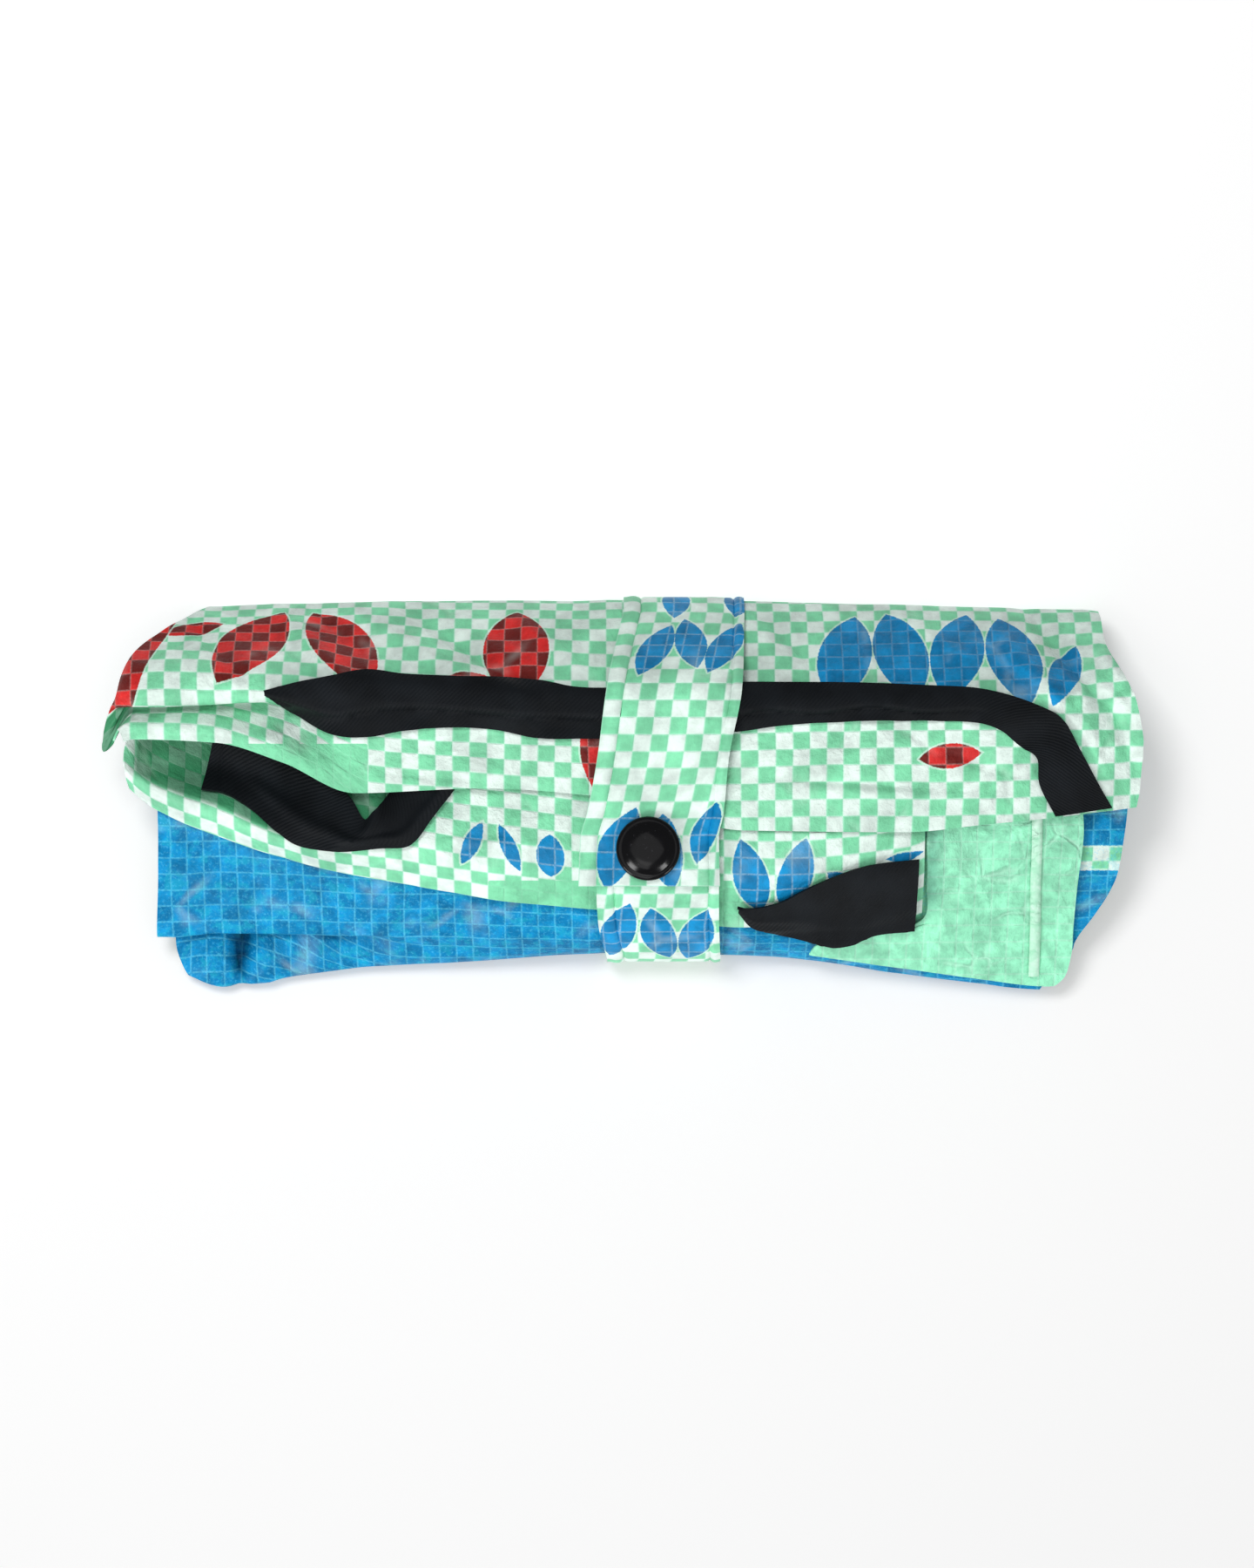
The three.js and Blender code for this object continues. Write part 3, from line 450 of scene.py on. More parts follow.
def blend_colour(tree, factor, a, b, blend_type="MIX"):
    node = put(tree, "ShaderNodeMix", {0: factor, 6: a, 7: b}, data_type="RGBA", blend_type=blend_type)
    return node.outputs[2]


def smooth_step(tree, value, low, high, to_low=0.0, to_high=1.0):
    inputs = {"Value": value, "From Min": low, "From Max": high, "To Min": to_low, "To Max": to_high}
    return put(tree, "ShaderNodeMapRange", inputs, interpolation_type="SMOOTHSTEP").outputs[0]


SOCKET_KINDS = {"value": "NodeSocketFloat", "vector": "NodeSocketVector", "colour": "NodeSocketColor"}


def group(name, takes, gives):
    tree = bpy.data.node_groups.new(name, "ShaderNodeTree")
    for in_out, sockets in (("INPUT", takes), ("OUTPUT", gives)):
        for label, kind in sockets.items():
            tree.interface.new_socket(name=label, in_out=in_out, socket_type=SOCKET_KINDS[kind])
    return tree, tree.nodes.new("NodeGroupInput").outputs, tree.nodes.new("NodeGroupOutput").inputs


def use(tree, group_tree, inputs):
    return put(tree, "ShaderNodeGroup", inputs, node_tree=group_tree).outputs


print("socket kinds", sorted(SOCKET_KINDS))

# %% [markdown]
# ## The weave
#
# Flat tapes cross one over, one under. Where a lengthwise tape lies on top the square is green, where a
# crosswise tape lies on top it is white. Each tape dips where it goes under its neighbour, and a fine line
# shows between tapes. Every tape has its own slight tone and faint streaks along its length.

# %% Sack weave group
weave, take, give = group(
    "sack weave",
    {"Place": "vector", "Tape Width": "value", "Warp": "colour", "Weft": "colour", "Wander": "value"},
    {"Colour": "colour", "Warp On Top": "value", "Tape Gap": "value", "Height": "value"})

wander = vector_sum(weave, "SUBTRACT", noise(weave, take["Place"], 0.035, 1.0)["Color"], (0.5, 0.5, 0.5))
moved = vector_sum(weave, "ADD", take["Place"], scaled(weave, wander, take["Wander"]))
cell = put(weave, "ShaderNodeSeparateXYZ", {0: moved})
across = sum_up(weave, "DIVIDE", cell.outputs[0], take["Tape Width"])
along = sum_up(weave, "DIVIDE", cell.outputs[1], take["Tape Width"])
warp_index, weft_index = sum_up(weave, "FLOOR", across), sum_up(weave, "FLOOR", along)
parity = sum_up(weave, "FLOORED_MODULO", sum_up(weave, "ADD", warp_index, weft_index), 2.0)


def to_border(value):
    part = sum_up(weave, "FRACT", value)
    return sum_up(weave, "MINIMUM", part, sum_up(weave, "SUBTRACT", 1.0, part))


side_x, side_y = to_border(across), to_border(along)
own_edge = put(weave, "ShaderNodeMix", {0: parity, 2: side_y, 3: side_x}).outputs[0]
dive_edge = put(weave, "ShaderNodeMix", {0: parity, 2: side_x, 3: side_y}).outputs[0]
height = sum_up(weave, "MULTIPLY", smooth_step(weave, dive_edge, 0.0, 0.3, 0.35, 1.0),
                smooth_step(weave, own_edge, 0.0, 0.08))
gap = smooth_step(weave, sum_up(weave, "MINIMUM", side_x, side_y), 0.02, 0.085, 1.0, 0.0)


def tape_tone(index, line, stretch):
    own = put(weave, "ShaderNodeTexWhiteNoise", {"W": index}, noise_dimensions="1D").outputs["Value"]
    streaks = noise(weave, vector_sum(weave, "MULTIPLY", moved, stretch), 1.0, 2.0)["Fac"]
    both = sum_up(weave, "ADD", sum_up(weave, "MULTIPLY", own, 0.09),
                  sum_up(weave, "MULTIPLY", streaks, line))
    return sum_up(weave, "SUBTRACT", 1.05, both)


warp = scaled(weave, take["Warp"], tape_tone(warp_index, 0.12, (3.0, 0.12, 1.0)))
weft = scaled(weave, take["Weft"], tape_tone(weft_index, 0.07, (0.12, 3.0, 1.0)))
weave.links.new(blend_colour(weave, parity, weft, warp), give["Colour"])
weave.links.new(parity, give["Warp On Top"])
weave.links.new(gap, give["Tape Gap"])
weave.links.new(height, give["Height"])
print("weave group has", len(weave.nodes), "nodes")

# %% [markdown]
# ## The print
#
# The sack's print is replaced by plain grain shapes and bars of like size and colour. Each shape gives the
# distance to its outline, so many shapes join by taking the smallest distance, and the ink's edge stays
# sharp at any zoom. Ink is bright on the white tapes, dull on the green ones, and misses the gaps.

# %% Grain and bar outlines
def placed(tree, take):
    offset = vector_sum(tree, "SUBTRACT", take["Place"], take["Centre"])
    turned = put(tree, "ShaderNodeVectorRotate", {"Vector": offset, "Angle": take["Turn"]},
                 rotation_type="Z_AXIS", invert=True)
    parts = put(tree, "ShaderNodeSeparateXYZ", {0: vector_sum(tree, "ABSOLUTE", turned.outputs[0])})
    return parts.outputs[0], parts.outputs[1]


def length_of(tree, x, y):
    joined = put(tree, "ShaderNodeCombineXYZ", {0: x, 1: y}).outputs[0]
    return put(tree, "ShaderNodeVectorMath", {0: joined}, operation="LENGTH").outputs["Value"]


SHAPE_SOCKETS = {"Place": "vector", "Centre": "vector", "Turn": "value", "Half Length": "value",
                 "Half Width": "value"}
grain, take, give = group("grain outline", SHAPE_SOCKETS, {"Distance": "value"})
x, y = placed(grain, take)
squares = sum_up(grain, "ADD", sum_up(grain, "POWER", take["Half Length"], 2.0),
                 sum_up(grain, "POWER", take["Half Width"], 2.0))
radius = sum_up(grain, "DIVIDE", squares, sum_up(grain, "MULTIPLY", take["Half Width"], 2.0))
drop = sum_up(grain, "SUBTRACT", radius, take["Half Width"])
reach = length_of(grain, x, sum_up(grain, "ADD", y, drop))
grain.links.new(sum_up(grain, "SUBTRACT", reach, radius), give["Distance"])

bar, take, give = group("bar outline", SHAPE_SOCKETS, {"Distance": "value"})
x, y = placed(bar, take)
CORNER = 0.8


def beyond(value, half):
    inner = sum_up(bar, "SUBTRACT", half, CORNER)
    return sum_up(bar, "MAXIMUM", sum_up(bar, "SUBTRACT", value, inner), 0.0)


reach = length_of(bar, beyond(x, take["Half Length"]), beyond(y, take["Half Width"]))
bar.links.new(sum_up(bar, "SUBTRACT", reach, CORNER), give["Distance"])
print("outline groups made")

# %% Ink group
ink, take, give = group(
    "ink on weave",
    {"Colour": "colour", "Distance": "value", "Warp On Top": "value", "Tape Gap": "value",
     "On Weft": "colour", "On Warp": "colour", "Gap Colour": "colour", "Gap Strength": "value",
     "Place": "vector"},
    {"Colour": "colour"})
speckle = noise(ink, take["Place"], 1.1, 4.0, 0.7)["Fac"]
rough_edge = sum_up(ink, "MULTIPLY_ADD", speckle, 0.9, sum_up(ink, "SUBTRACT", take["Distance"], 0.45))
printed = smooth_step(ink, rough_edge, -0.12, 0.12, 1.0, 0.0)
halo = smooth_step(ink, rough_edge, 0.45, 0.75, 0.55, 0.0)
colour = blend_colour(ink, take["Warp On Top"], take["On Weft"], take["On Warp"])
blotch = noise(ink, take["Place"], 0.16, 5.0, 0.65)["Fac"]
colour = scaled(ink, colour, smooth_step(ink, blotch, 0.3, 0.7, 0.82, 1.16))
missed = sum_up(ink, "MULTIPLY", take["Tape Gap"], take["Gap Strength"])
missed = sum_up(ink, "MULTIPLY", missed, smooth_step(ink, speckle, 0.35, 0.62, 0.35, 1.0))
colour = blend_colour(ink, missed, colour, take["Gap Colour"])
paled = blend_colour(ink, halo, take["Colour"], WHITE)
ink.links.new(blend_colour(ink, printed, paled, colour), give["Colour"])
print("ink group has", len(ink.nodes), "nodes")

# %% [markdown]
# ## Crumpling and wear
#
# The laminated film creases into fine lines that catch the light, and where it has been folded often it
# turns pale. One group gives the fine relief, the pale creases and a slow change of tone, which also
# serves as painted sheen.

# %% Crumple group
crumple, take, give = group(
    "film crumple", {"Place": "vector", "Size": "value"},
    {"Height": "value", "Pale Crease": "value", "Tone": "value"})
scale = sum_up(crumple, "DIVIDE", 1.0, take["Size"])
bend = noise(crumple, take["Place"], scale, 2.0)["Color"]
bent = vector_sum(crumple, "MULTIPLY_ADD", bend, (7.0, 7.0, 7.0), take["Place"])
facets = put(crumple, "ShaderNodeTexVoronoi", {"Vector": bent, "Scale": scale, "Randomness": 1.0},
             feature="DISTANCE_TO_EDGE")
fold_line = smooth_step(crumple, facets.outputs["Distance"], 0.0, 0.09, 1.0, 0.0)
fine = noise(crumple, bent, 0.22, 6.0, 0.62)["Fac"]
present = smooth_step(crumple, noise(crumple, take["Place"], 0.045, 3.0)["Fac"], 0.48, 0.66)
crease = sum_up(crumple, "MULTIPLY", fold_line, present)
relief = sum_up(crumple, "MULTIPLY_ADD", crease, -0.5, fine)
crumple.links.new(relief, give["Height"])
crumple.links.new(crease, give["Pale Crease"])
crumple.links.new(smooth_step(crumple, fine, 0.25, 0.75), give["Tone"])
print("crumple group has", len(crumple.nodes), "nodes")

# %% [markdown]
# ## Printed cloth
#
# One function makes every cloth finish. It takes tables of shapes to print, in millimetres of flat cloth,
# and boxes, seen from above, where the cloth is plain green or stays unprinted. Two masks stored on the
# mesh paint shade: one lays the bare side's darkened colours where the bare side shows or a fold's end
# lies in shade, the other paints deep shade into creases and along an edge. The film gloss stays in the
# material.

# %% Make a cloth material
TAPE_PITCH = 5.4
TAPE_WANDER = 1.6
WEAVE_RELIEF = 0.16


def nearest_shape(tree, outline, place, rows):
    distance = None
    for u, v, turn, length, width in zip(*rows.values()):
        found = use(tree, outline, {
            "Place": place, "Centre": (u, v, 0.0), "Turn": math.radians(turn),
            "Half Length": length / 2, "Half Width": width / 2})["Distance"]
        distance = found if distance is None else sum_up(tree, "MINIMUM", distance, found)
    return distance


def new_material(name):
    material = bpy.data.materials.new(name)
    material.use_nodes = True
    tree = material.node_tree
    return material, tree, tree.nodes["Principled BSDF"]


def inked(tree, cloth, flat, colour, distance, inks, gap_colour, gap_strength):
    on_weft, on_warp = inks
    return use(tree, ink, {
        "Colour": colour, "Distance": distance, "Warp On Top": cloth["Warp On Top"],
        "Tape Gap": cloth["Tape Gap"], "On Weft": on_weft, "On Warp": on_warp, "Gap Colour": gap_colour,
        "Gap Strength": gap_strength, "Place": flat})["Colour"]


def mask_value(tree, label):
    return put(tree, "ShaderNodeAttribute", attribute_name=label).outputs["Fac"]


def cloth_material(name, prints=(), plain=None, unprinted=None, all_blue=False, green_weft=False,
                   wander=TAPE_WANDER, crumple_size=26.0, relief=0.5, inside=False, deep=False,
                   gap_shows=0.5, mottle=0.12):
    material, tree, shader = new_material(name)
    flat = cloth_place(tree)
    space = scaled(tree, put(tree, "ShaderNodeTexCoord").outputs["Object"], 1 / MM)
    level = vector_sum(tree, "MULTIPLY", space, (1.0, 1.0, 0.0))
    warp, weft = (LIGHT_GREEN, LIGHT_GREEN) if green_weft else (GREEN, WHITE)
    if plain is not None:
        in_box = smooth_step(tree, nearest_shape(tree, bar, level, plain), -0.1, 0.1, 1.0, 0.0)
        weft = blend_colour(tree, in_box, WHITE, GREEN)
        gap_shows = sum_up(tree, "MULTIPLY_ADD", in_box, -0.8 * gap_shows, gap_shows)
    cloth = use(tree, weave, {"Place": flat, "Tape Width": TAPE_PITCH, "Warp": warp, "Weft": weft,
                              "Wander": wander})
    worn = use(tree, crumple, {"Place": flat, "Size": crumple_size})
    gap_seen = sum_up(tree, "MULTIPLY", cloth["Tape Gap"], gap_shows)
    colour = blend_colour(tree, gap_seen, cloth["Colour"], PALE_GREEN)
    for outline, rows, inks, missed in prints:
        distance = nearest_shape(tree, outline, flat, rows)
        gap_colour = blend_colour(tree, 0.5, inks[0], WHITE)
        colour = inked(tree, cloth, flat, colour, distance, inks, gap_colour, missed)
    if all_blue:
        distance = sum_up(tree, "MULTIPLY", nearest_shape(tree, bar, level, unprinted), -1.0)
        colour = inked(tree, cloth, flat, colour, distance, BLUE_INK, BLUE_GAP, 0.6)
        colour = blend_colour(tree, smooth_step(tree, worn["Tone"], 0.5, 0.85, 0.0, 0.4), colour, TEAL)
        specks = smooth_step(tree, noise(tree, flat, 1.0, 3.0, 0.7)["Fac"], 0.5, 0.72, 0.0, 0.5)
        colour = blend_colour(tree, specks, colour, BLUE_SPECK)
    # Painted shade: the inside mask lays the bare side's darkened colours over the print.
    if inside:
        bare = blend_colour(tree, cloth["Warp On Top"], BARE_WHITE_AND_SHADE, BARE_GREEN_AND_SHADE)
        colour = blend_colour(tree, mask_value(tree, "inside"), colour, bare)
    # Painted shade: the deep mask darkens the colour towards DEEP_SHADE.
    if deep:
        colour = blend_colour(tree, mask_value(tree, "deep"), colour, DEEP_SHADE, "MULTIPLY")
    # The mottled tone and the broad drift vary the cloth's tone at random and also paint part of the film's
    # sheen into the colour.
    tone = smooth_step(tree, worn["Tone"], 0.0, 1.0, 1.0 - mottle, 1.0 + 0.6 * mottle)
    painted_sheen_drift = smooth_step(tree, noise(tree, flat, 0.055, 3.0)["Fac"], 0.36, 0.6, 0.84, 1.02)
    colour = scaled(tree, colour, sum_up(tree, "MULTIPLY", tone, painted_sheen_drift))
    colour = blend_colour(tree, sum_up(tree, "MULTIPLY", worn["Pale Crease"], 0.16), colour, WHITE)
    tree.links.new(colour, shader.inputs["Base Color"])
    tree.links.new(smooth_step(tree, worn["Tone"], 0.0, 1.0, 0.34, 0.52), shader.inputs["Roughness"])
    shader.inputs["Specular IOR Level"].default_value = 0.05 if all_blue else 0.15
    shader.inputs["Coat Roughness"].default_value = 0.3
    shader.inputs["Coat Weight"].default_value = 0.05 if all_blue else 0.1
    film = sum_up(tree, "MULTIPLY", worn["Height"], relief)
    bump_up(tree, shader, sum_up(tree, "MULTIPLY_ADD", cloth["Height"], WEAVE_RELIEF, film))
    return material


# The under faces take the bare side's colours, which carry painted shade.
def bare_side_and_shade_material():
    material, tree, shader = new_material("bare side of the cloth")
    flat = cloth_place(tree)
    cloth = use(tree, weave, {"Place": flat, "Tape Width": TAPE_PITCH, "Warp": BARE_GREEN_AND_SHADE,
                              "Weft": BARE_WHITE_AND_SHADE, "Wander": TAPE_WANDER})
    worn = use(tree, crumple, {"Place": flat, "Size": 22.0})
    tree.links.new(cloth["Colour"], shader.inputs["Base Color"])
    shader.inputs["Roughness"].default_value = 0.55
    bump_up(tree, shader, sum_up(tree, "MULTIPLY_ADD", cloth["Height"], WEAVE_RELIEF, worn["Height"]))
    return material


bare_side_and_shade = bare_side_and_shade_material()
print("cloth materials ready")

# %% [markdown]
# ## The outer panel
#
# It starts at the hem in front, rolls under itself in a pleat at the left, runs over the crown and down
# the back, and ends under the roll. Where a pleat fades out, the fold lines beside its turns slide back
# into the flat cloth, so the same set of lines serves the whole length.

# %% Fold lines of the outer panel
def beside(rows, turn, other, side, inward, start, end, share):
    def at(x):
        pleat = column(rows, "pleat", x) ** 2
        radius = np.abs(other(x)[1] - turn(x)[1]) / 2
        return (mix(mix(start(x)[0], end(x)[0], share), turn(x)[0] + inward * radius, pleat),
                mix(mix(start(x)[1], end(x)[1], share), turn(x)[1] + side * radius, pleat))
    return at


hem, lip, tuck, crease, crown = (line_of(OUTER, name) for name in ("hem", "lip", "tuck", "crease", "crown"))


def back(dy, z):
    return lambda x: (column(OUTER, "backY", x) + dy, z)


outer_folds = [
    (-158.5, 164.0, hem),
    (-160.0, 165.0, lambda x: (hem(x)[0] + 4.5, hem(x)[1] + 0.5)),
    (-163.0, 165.6, lip),
    (-166.4, 165.8, beside(OUTER, tuck, crease, -1, -1, lip, tuck, 0.6)),
    (-167.0, 166.0, tuck),
    (-166.0, 166.0, beside(OUTER, tuck, crease, 1, -1, tuck, crease, 0.35)),
    (-164.6, 166.0, beside(OUTER, crease, tuck, -1, 1, tuck, crease, 0.7)),
    (-163.5, 166.0, crease),
    (-162.0, 165.4, beside(OUTER, crease, tuck, 1, 1, crease, crown, 0.3)),
    (-159.5, 163.0, crown),
    (-154.0, 155.5, back(-12.5, 27.5)),
    (-134.0, 154.0, back(0.0, 12.0)),
    (-135.0, 152.0, back(-1.6, 5.0)),
    (-137.0, 151.0, lambda x: (column(OUTER, "backY", x) - 9, column(LIFT, "sole", x))),
    (-139.0, 150.0, lambda x: (SEAM_Y + 0.3, column(LIFT, "sole", x))),
]
CROWN_KEY = 9
print(len(outer_folds), "fold lines")

# %% Wrinkles, print and mesh of the outer panel
OUTER_CREASES = table("""
    x0     y0     x1     y1   depth width
   130     58    164     14   -2.2   2.6
   150     50    166     26    1.8   2.2
   120     50    152     14    1.6   3.0
   154     30    164      4   -1.6   2.0
   144     36    156     -4    1.2   2.0
   138     24    164     34   -1.0   1.6
  -150     50   -128     40   -0.6   2.0
   -60     56    -18     44   -0.5   2.2
   -70     58    -26     30   -2.0   2.4
   -86     56    -46     34    1.4   2.6
   -36     56     -8     34    1.2   2.2
   -52     38    -20     33   -1.0   1.3
  -112     58    -86     34    1.5   2.8
  -100     58    -78     40   -1.2   2.0
  -140     54   -116     32   -1.4   2.4
    44     58     66     34   -1.2   2.2
    86     58    112     40    1.0   2.4
    45      4     95      1   -0.9   1.3
    60      0    120     -3    0.8   1.8
   100     14    124      4   -1.0   2.0
   -78      6    -30      2   -0.8   1.4
""")


def outer_relief(grid, marks):
    x, y = grid[..., 0], grid[..., 1]
    top = np.clip((12.4 - marks) / 2, 0, 1)
    end = np.clip((np.abs(x) - 120) / 40, 0, 1)
    return top * (0.7 * waves(x, y, 40, 3) + 0.25 * waves(x, y, 15, 4)
                  + (0.25 + 0.6 * end) * ridges(x + y, 0.6 * y, 22, 5) + creases(x, y, OUTER_CREASES))


def wrinkled(grid, marks, relief):
    raised = grid + normals_of(grid) * relief(grid, marks)[..., None]
    raised[..., 2] = np.maximum(raised[..., 2], 0.4)
    return raised


outer_pitch = lambda k: 1.1 if k < 11 else 5.0
outer_grid, outer_marks = fold_surface(outer_folds, even_stations(330, 1.3), outer_pitch)
outer_uv = flat_map(outer_grid, int(np.searchsorted(outer_marks, CROWN_KEY)))
HEM_TAPES, TUCK_KEY = 8, 4
from_hem = flat_map(outer_grid, 0)[..., 1] - HEM_TAPES * TAPE_PITCH
behind_pleat = np.clip((-82.0 - outer_grid[..., 0]) / 18, 0, 1) * (outer_marks < TUCK_KEY)
outer_uv[..., 1] = mix(outer_uv[..., 1], from_hem, behind_pleat)
outer_grid = wrinkled(outer_grid, outer_marks, outer_relief)

RED_GRAINS = table("""
     u     v  turn length width
  -119    15    62     42    20
   -90    16   118     42    20
   -34    17    90     38    21
   -48     3     4     22     9
    -9   -16    90     30     9
   104   -19     6     20     8
  -138    24    20     20     8
""")
RED_BARS = table("""
     u     v  turn length width
  -154     9    73     52     8
""")
BLUE_GRAINS = table("""
     u     v  turn length width
    71    16    78     38    17
    89    17   102     38    17
   107    17    78     38    17
   125    15   102     38    17
   141     9    70     26    10
""")
PLAIN_LEFT = table("""
     u     v  turn length width
  -118  -6.4     0     74    42
""")
outer_cloth = cloth_material("checked cloth of the outer panel", [
    (grain, RED_GRAINS, RED_INK, 0.3), (bar, RED_BARS, RED_INK, 0.3),
    (grain, BLUE_GRAINS, BLUE_INK, 0.25)], plain=PLAIN_LEFT, relief=1.3, inside=True)
# Painted shade: the far left end of the pleat takes the bare side's dark colours, as shade under the fold.
pleat_end_painted_shade = np.clip((-155.0 - outer_grid[..., 0]) / 3, 0, 1) * ((outer_marks > 1.8) & (outer_marks < 5.6))
sheet_solid("outer_panel", outer_grid, outer_uv, CLOTH, [outer_cloth, bare_side_and_shade], inside=pleat_end_painted_shade)

# %% [markdown]
# ## The inner panel
#
# The second ply comes out of the mouth, rises to a ridge and drops to its own hem over the base. At the
# left, behind the ridge, one looks into the mouth and sees the bare side of the cloth, darkened by painted
# shade.

# %% The inner panel
ridge, foot = line_of(INNER, "ridge"), line_of(INNER, "foot")
inner_folds = [
    (-152, 90, lambda x: (34.0, column(INNER, "deepZ", x) - 0.6)),
    (-157, 93, lambda x: (22.0, column(INNER, "throatZ", x))),
    (-159.4, 96.2, line_of(INNER, "floor")),
    (-159.0, 96.4, ridge),
    (-158.0, 96.4, foot),
]
INNER_CREASES = table("""
    x0     y0     x1     y1   depth width
   -66    -16    -16    -17   -0.7   1.0
   -60     -4    -20     -6    0.4   1.6
    40    -14     92    -13   -0.8   1.0
   -92    -24    -40    -30    0.4   1.4
    30    -26     60    -34   -0.4   2.0
""")


def inner_relief(grid, marks):
    x, y = grid[..., 0], grid[..., 1]
    return (0.45 * waves(x, y, 34, 13) + 0.2 * waves(x, y, 13, 14)
            + 0.3 * ridges(x, y, 20, 15) + creases(x, y, INNER_CREASES))


inner_grid, inner_marks = fold_surface(inner_folds, even_stations(252, 1.3), lambda k: 1.1)
inner_uv = flat_map(inner_grid, inner_grid.shape[1] - 1)
MOUTH_EDGE = (-72.0, -8.0)
behind_ridge = inner_grid[..., 1] - ridge(inner_grid[..., 0])[0]
left_of_arm = (MOUTH_EDGE[0] + (inner_grid[..., 1] - MOUTH_EDGE[1])) - inner_grid[..., 0]
from_end = inner_grid[..., 0] - inner_grid[:1, :, 0]
# Inside the mouth the mask lays the bare side's colours, darkened as painted shade.
mouth = np.clip(behind_ridge / 2, 0, 1) * np.clip(left_of_arm / 2, 0, 1) * np.clip(from_end / 2 - 1, 0, 1)
inner_grid[..., 2] += 1.6 * bell(from_end, 0, 2.5)
inner_grid = wrinkled(inner_grid, inner_marks, inner_relief)

SMALL_BLUE = table("""
     u     v  turn length width
   -48   -20   115     16     5
   -36   -20    65     16     5
   -23   -19    90     14     9
    41   -20    75     27    11
    55   -20   105     27    11
    73   -15    40     20     8
    90   -24     0     12     3
""")
PLAIN_HEM = table("""
     u     v  turn length width
    -2   -43     0     82    28
""")
inner_cloth = cloth_material("checked cloth of the inner panel", [(grain, SMALL_BLUE, BLUE_INK, 0.5)],
                             plain=PLAIN_HEM, inside=True, relief=1.3)
sheet_solid("inner_panel", inner_grid, inner_uv, CLOTH, [inner_cloth, bare_side_and_shade], printed_up=False,
            inside=mouth)

# %% [markdown]
# ## The base
#
# The blue base makes the rounded nose in front. At the left its front is tucked in under a sharp pleat.
# Inside, the same cloth runs back and forth in long folds, which show at both ends of the roll.

# %% The base and the folds inside the roll
brim, tucked, step = (line_of(BASE, name) for name in ("brim", "tuck", "step"))


def below(line):
    return lambda x: (line(x)[0], line(x)[1] - REST)


def half_way(x):
    return (mix(step(x)[0], below(foot)(x)[0], 0.5), mix(step(x)[1], below(foot)(x)[1], 0.5) + 0.4)


def in_wave(x, share):
    return 2.6 * 4 * share * (1 - share) * np.sin(2 * math.pi * x / 105 + 0.6)


def run(y, name, share):
    return lambda x: (y, (column(INNER, name, x) - REST) * share + in_wave(x, share))


def turn(dy, share):
    return lambda x: (column(BASE, "turnY", x) + dy,
                      (column(INNER, "footZ", x) - REST) * share + in_wave(x, share))


nose = lambda dy: lambda x: (column(BASE, "noseY", x) + dy, 4.2 if dy == 0 else column(LIFT, "sole", x))
base_folds = [
    (-138, 150, lambda x: (SEAM_Y - 0.3, column(LIFT, "sole", x))),
    (-138, 149, lambda x: (-35.0, column(LIFT, "sole", x))),
    (-139, 140, nose(7)),
    (-141, 136, nose(0)),
    (-145, 138, brim),
    (-145.5, 140, beside(BASE, tucked, step, -1, -1, brim, tucked, 0.6)),
    (-146, 141, tucked),
    (-147, 142, beside(BASE, tucked, step, 1, -1, tucked, step, 0.35)),
    (-150.5, 146, beside(BASE, step, tucked, -1, 1, tucked, step, 0.7)),
    (-151, 146.5, step),
    (-151, 148, beside(BASE, step, tucked, 1, 1, step, half_way, 0.3)),
    (-150, 153, half_way),
    (-149.5, 158.5, below(foot)),
    (-149, 161, below(ridge)),
    (-149, 162, below(line_of(INNER, "floor"))),
    (-149, 159, run(22, "throatZ", 1)),
    (-148, 153, lambda x: (34.0, column(INNER, "deepZ", x) - REST - 0.8)),
]
STEP_KEY, LAST_SEEN_KEY = 9, 15
for share, following in ((0.8, 0.6), (0.4, 0.2)):
    base_folds += [
        (-148, 150, lambda x, s=share: (38.0, run(34, "deepZ", s + 0.08)(x)[1])),
        (-148, 152, run(34, "deepZ", share)),
        (-148, 156, run(15, "throatZ", share)),
        (-148, 158, run(-4, "floorZ", share)),
        (-147, 156, turn(4, share * 1.02)),
        (-147, 155, turn(0, (share + following) / 2)),
        (-147, 154, turn(4, following)),
        (-147, 155, run(-4, "floorZ", following)),
        (-147, 156, run(15, "throatZ", following)),
        (-147, 151, run(34, "deepZ", following)),
    ]
BASE_CREASES = table("""
    x0     y0     x1     y1   depth width
  -100    -56    -60    -52   -0.7   1.2
  -132    -30    -80    -44    0.5   2.4
  -148    -20   -120    -40    0.4   2.4
   140    -18    160    -34   -0.6   2.0
""")
PINCH = table("""
    x0     y0     x1     y1   depth width
  -122    -36   -125    -62   -4.6   3.0
  -128    -40   -125    -60   -2.0   1.6
  -116    -44   -116    -62    1.4   2.4
  -133    -45   -135    -60    1.2   2.4
""")


def pinched(grid, marks):
    return creases(grid[..., 0], grid[..., 1], PINCH) * np.clip((7.4 - marks) / 0.4, 0, 1)


def base_relief(grid, marks):
    x, y = grid[..., 0], grid[..., 1]
    seen = np.clip((marks - 1.6) / 1.0, 0, 1) * np.clip(LAST_SEEN_KEY - 1.5 - marks, 0, 1)
    return seen * (0.4 * waves(x, y, 34, 23) + 0.14 * waves(x, y, 12, 24)
                   + 0.2 * ridges(x, y, 17, 25) + creases(x, y, BASE_CREASES) + pinched(grid, marks))


base_pitch = lambda k: 1.1 if 1 < k < LAST_SEEN_KEY - 1 else 6.0
base_grid, base_marks = fold_surface(base_folds, even_stations(310, 1.6), base_pitch)
base_uv = flat_map(base_grid, int(np.searchsorted(base_marks, STEP_KEY)))
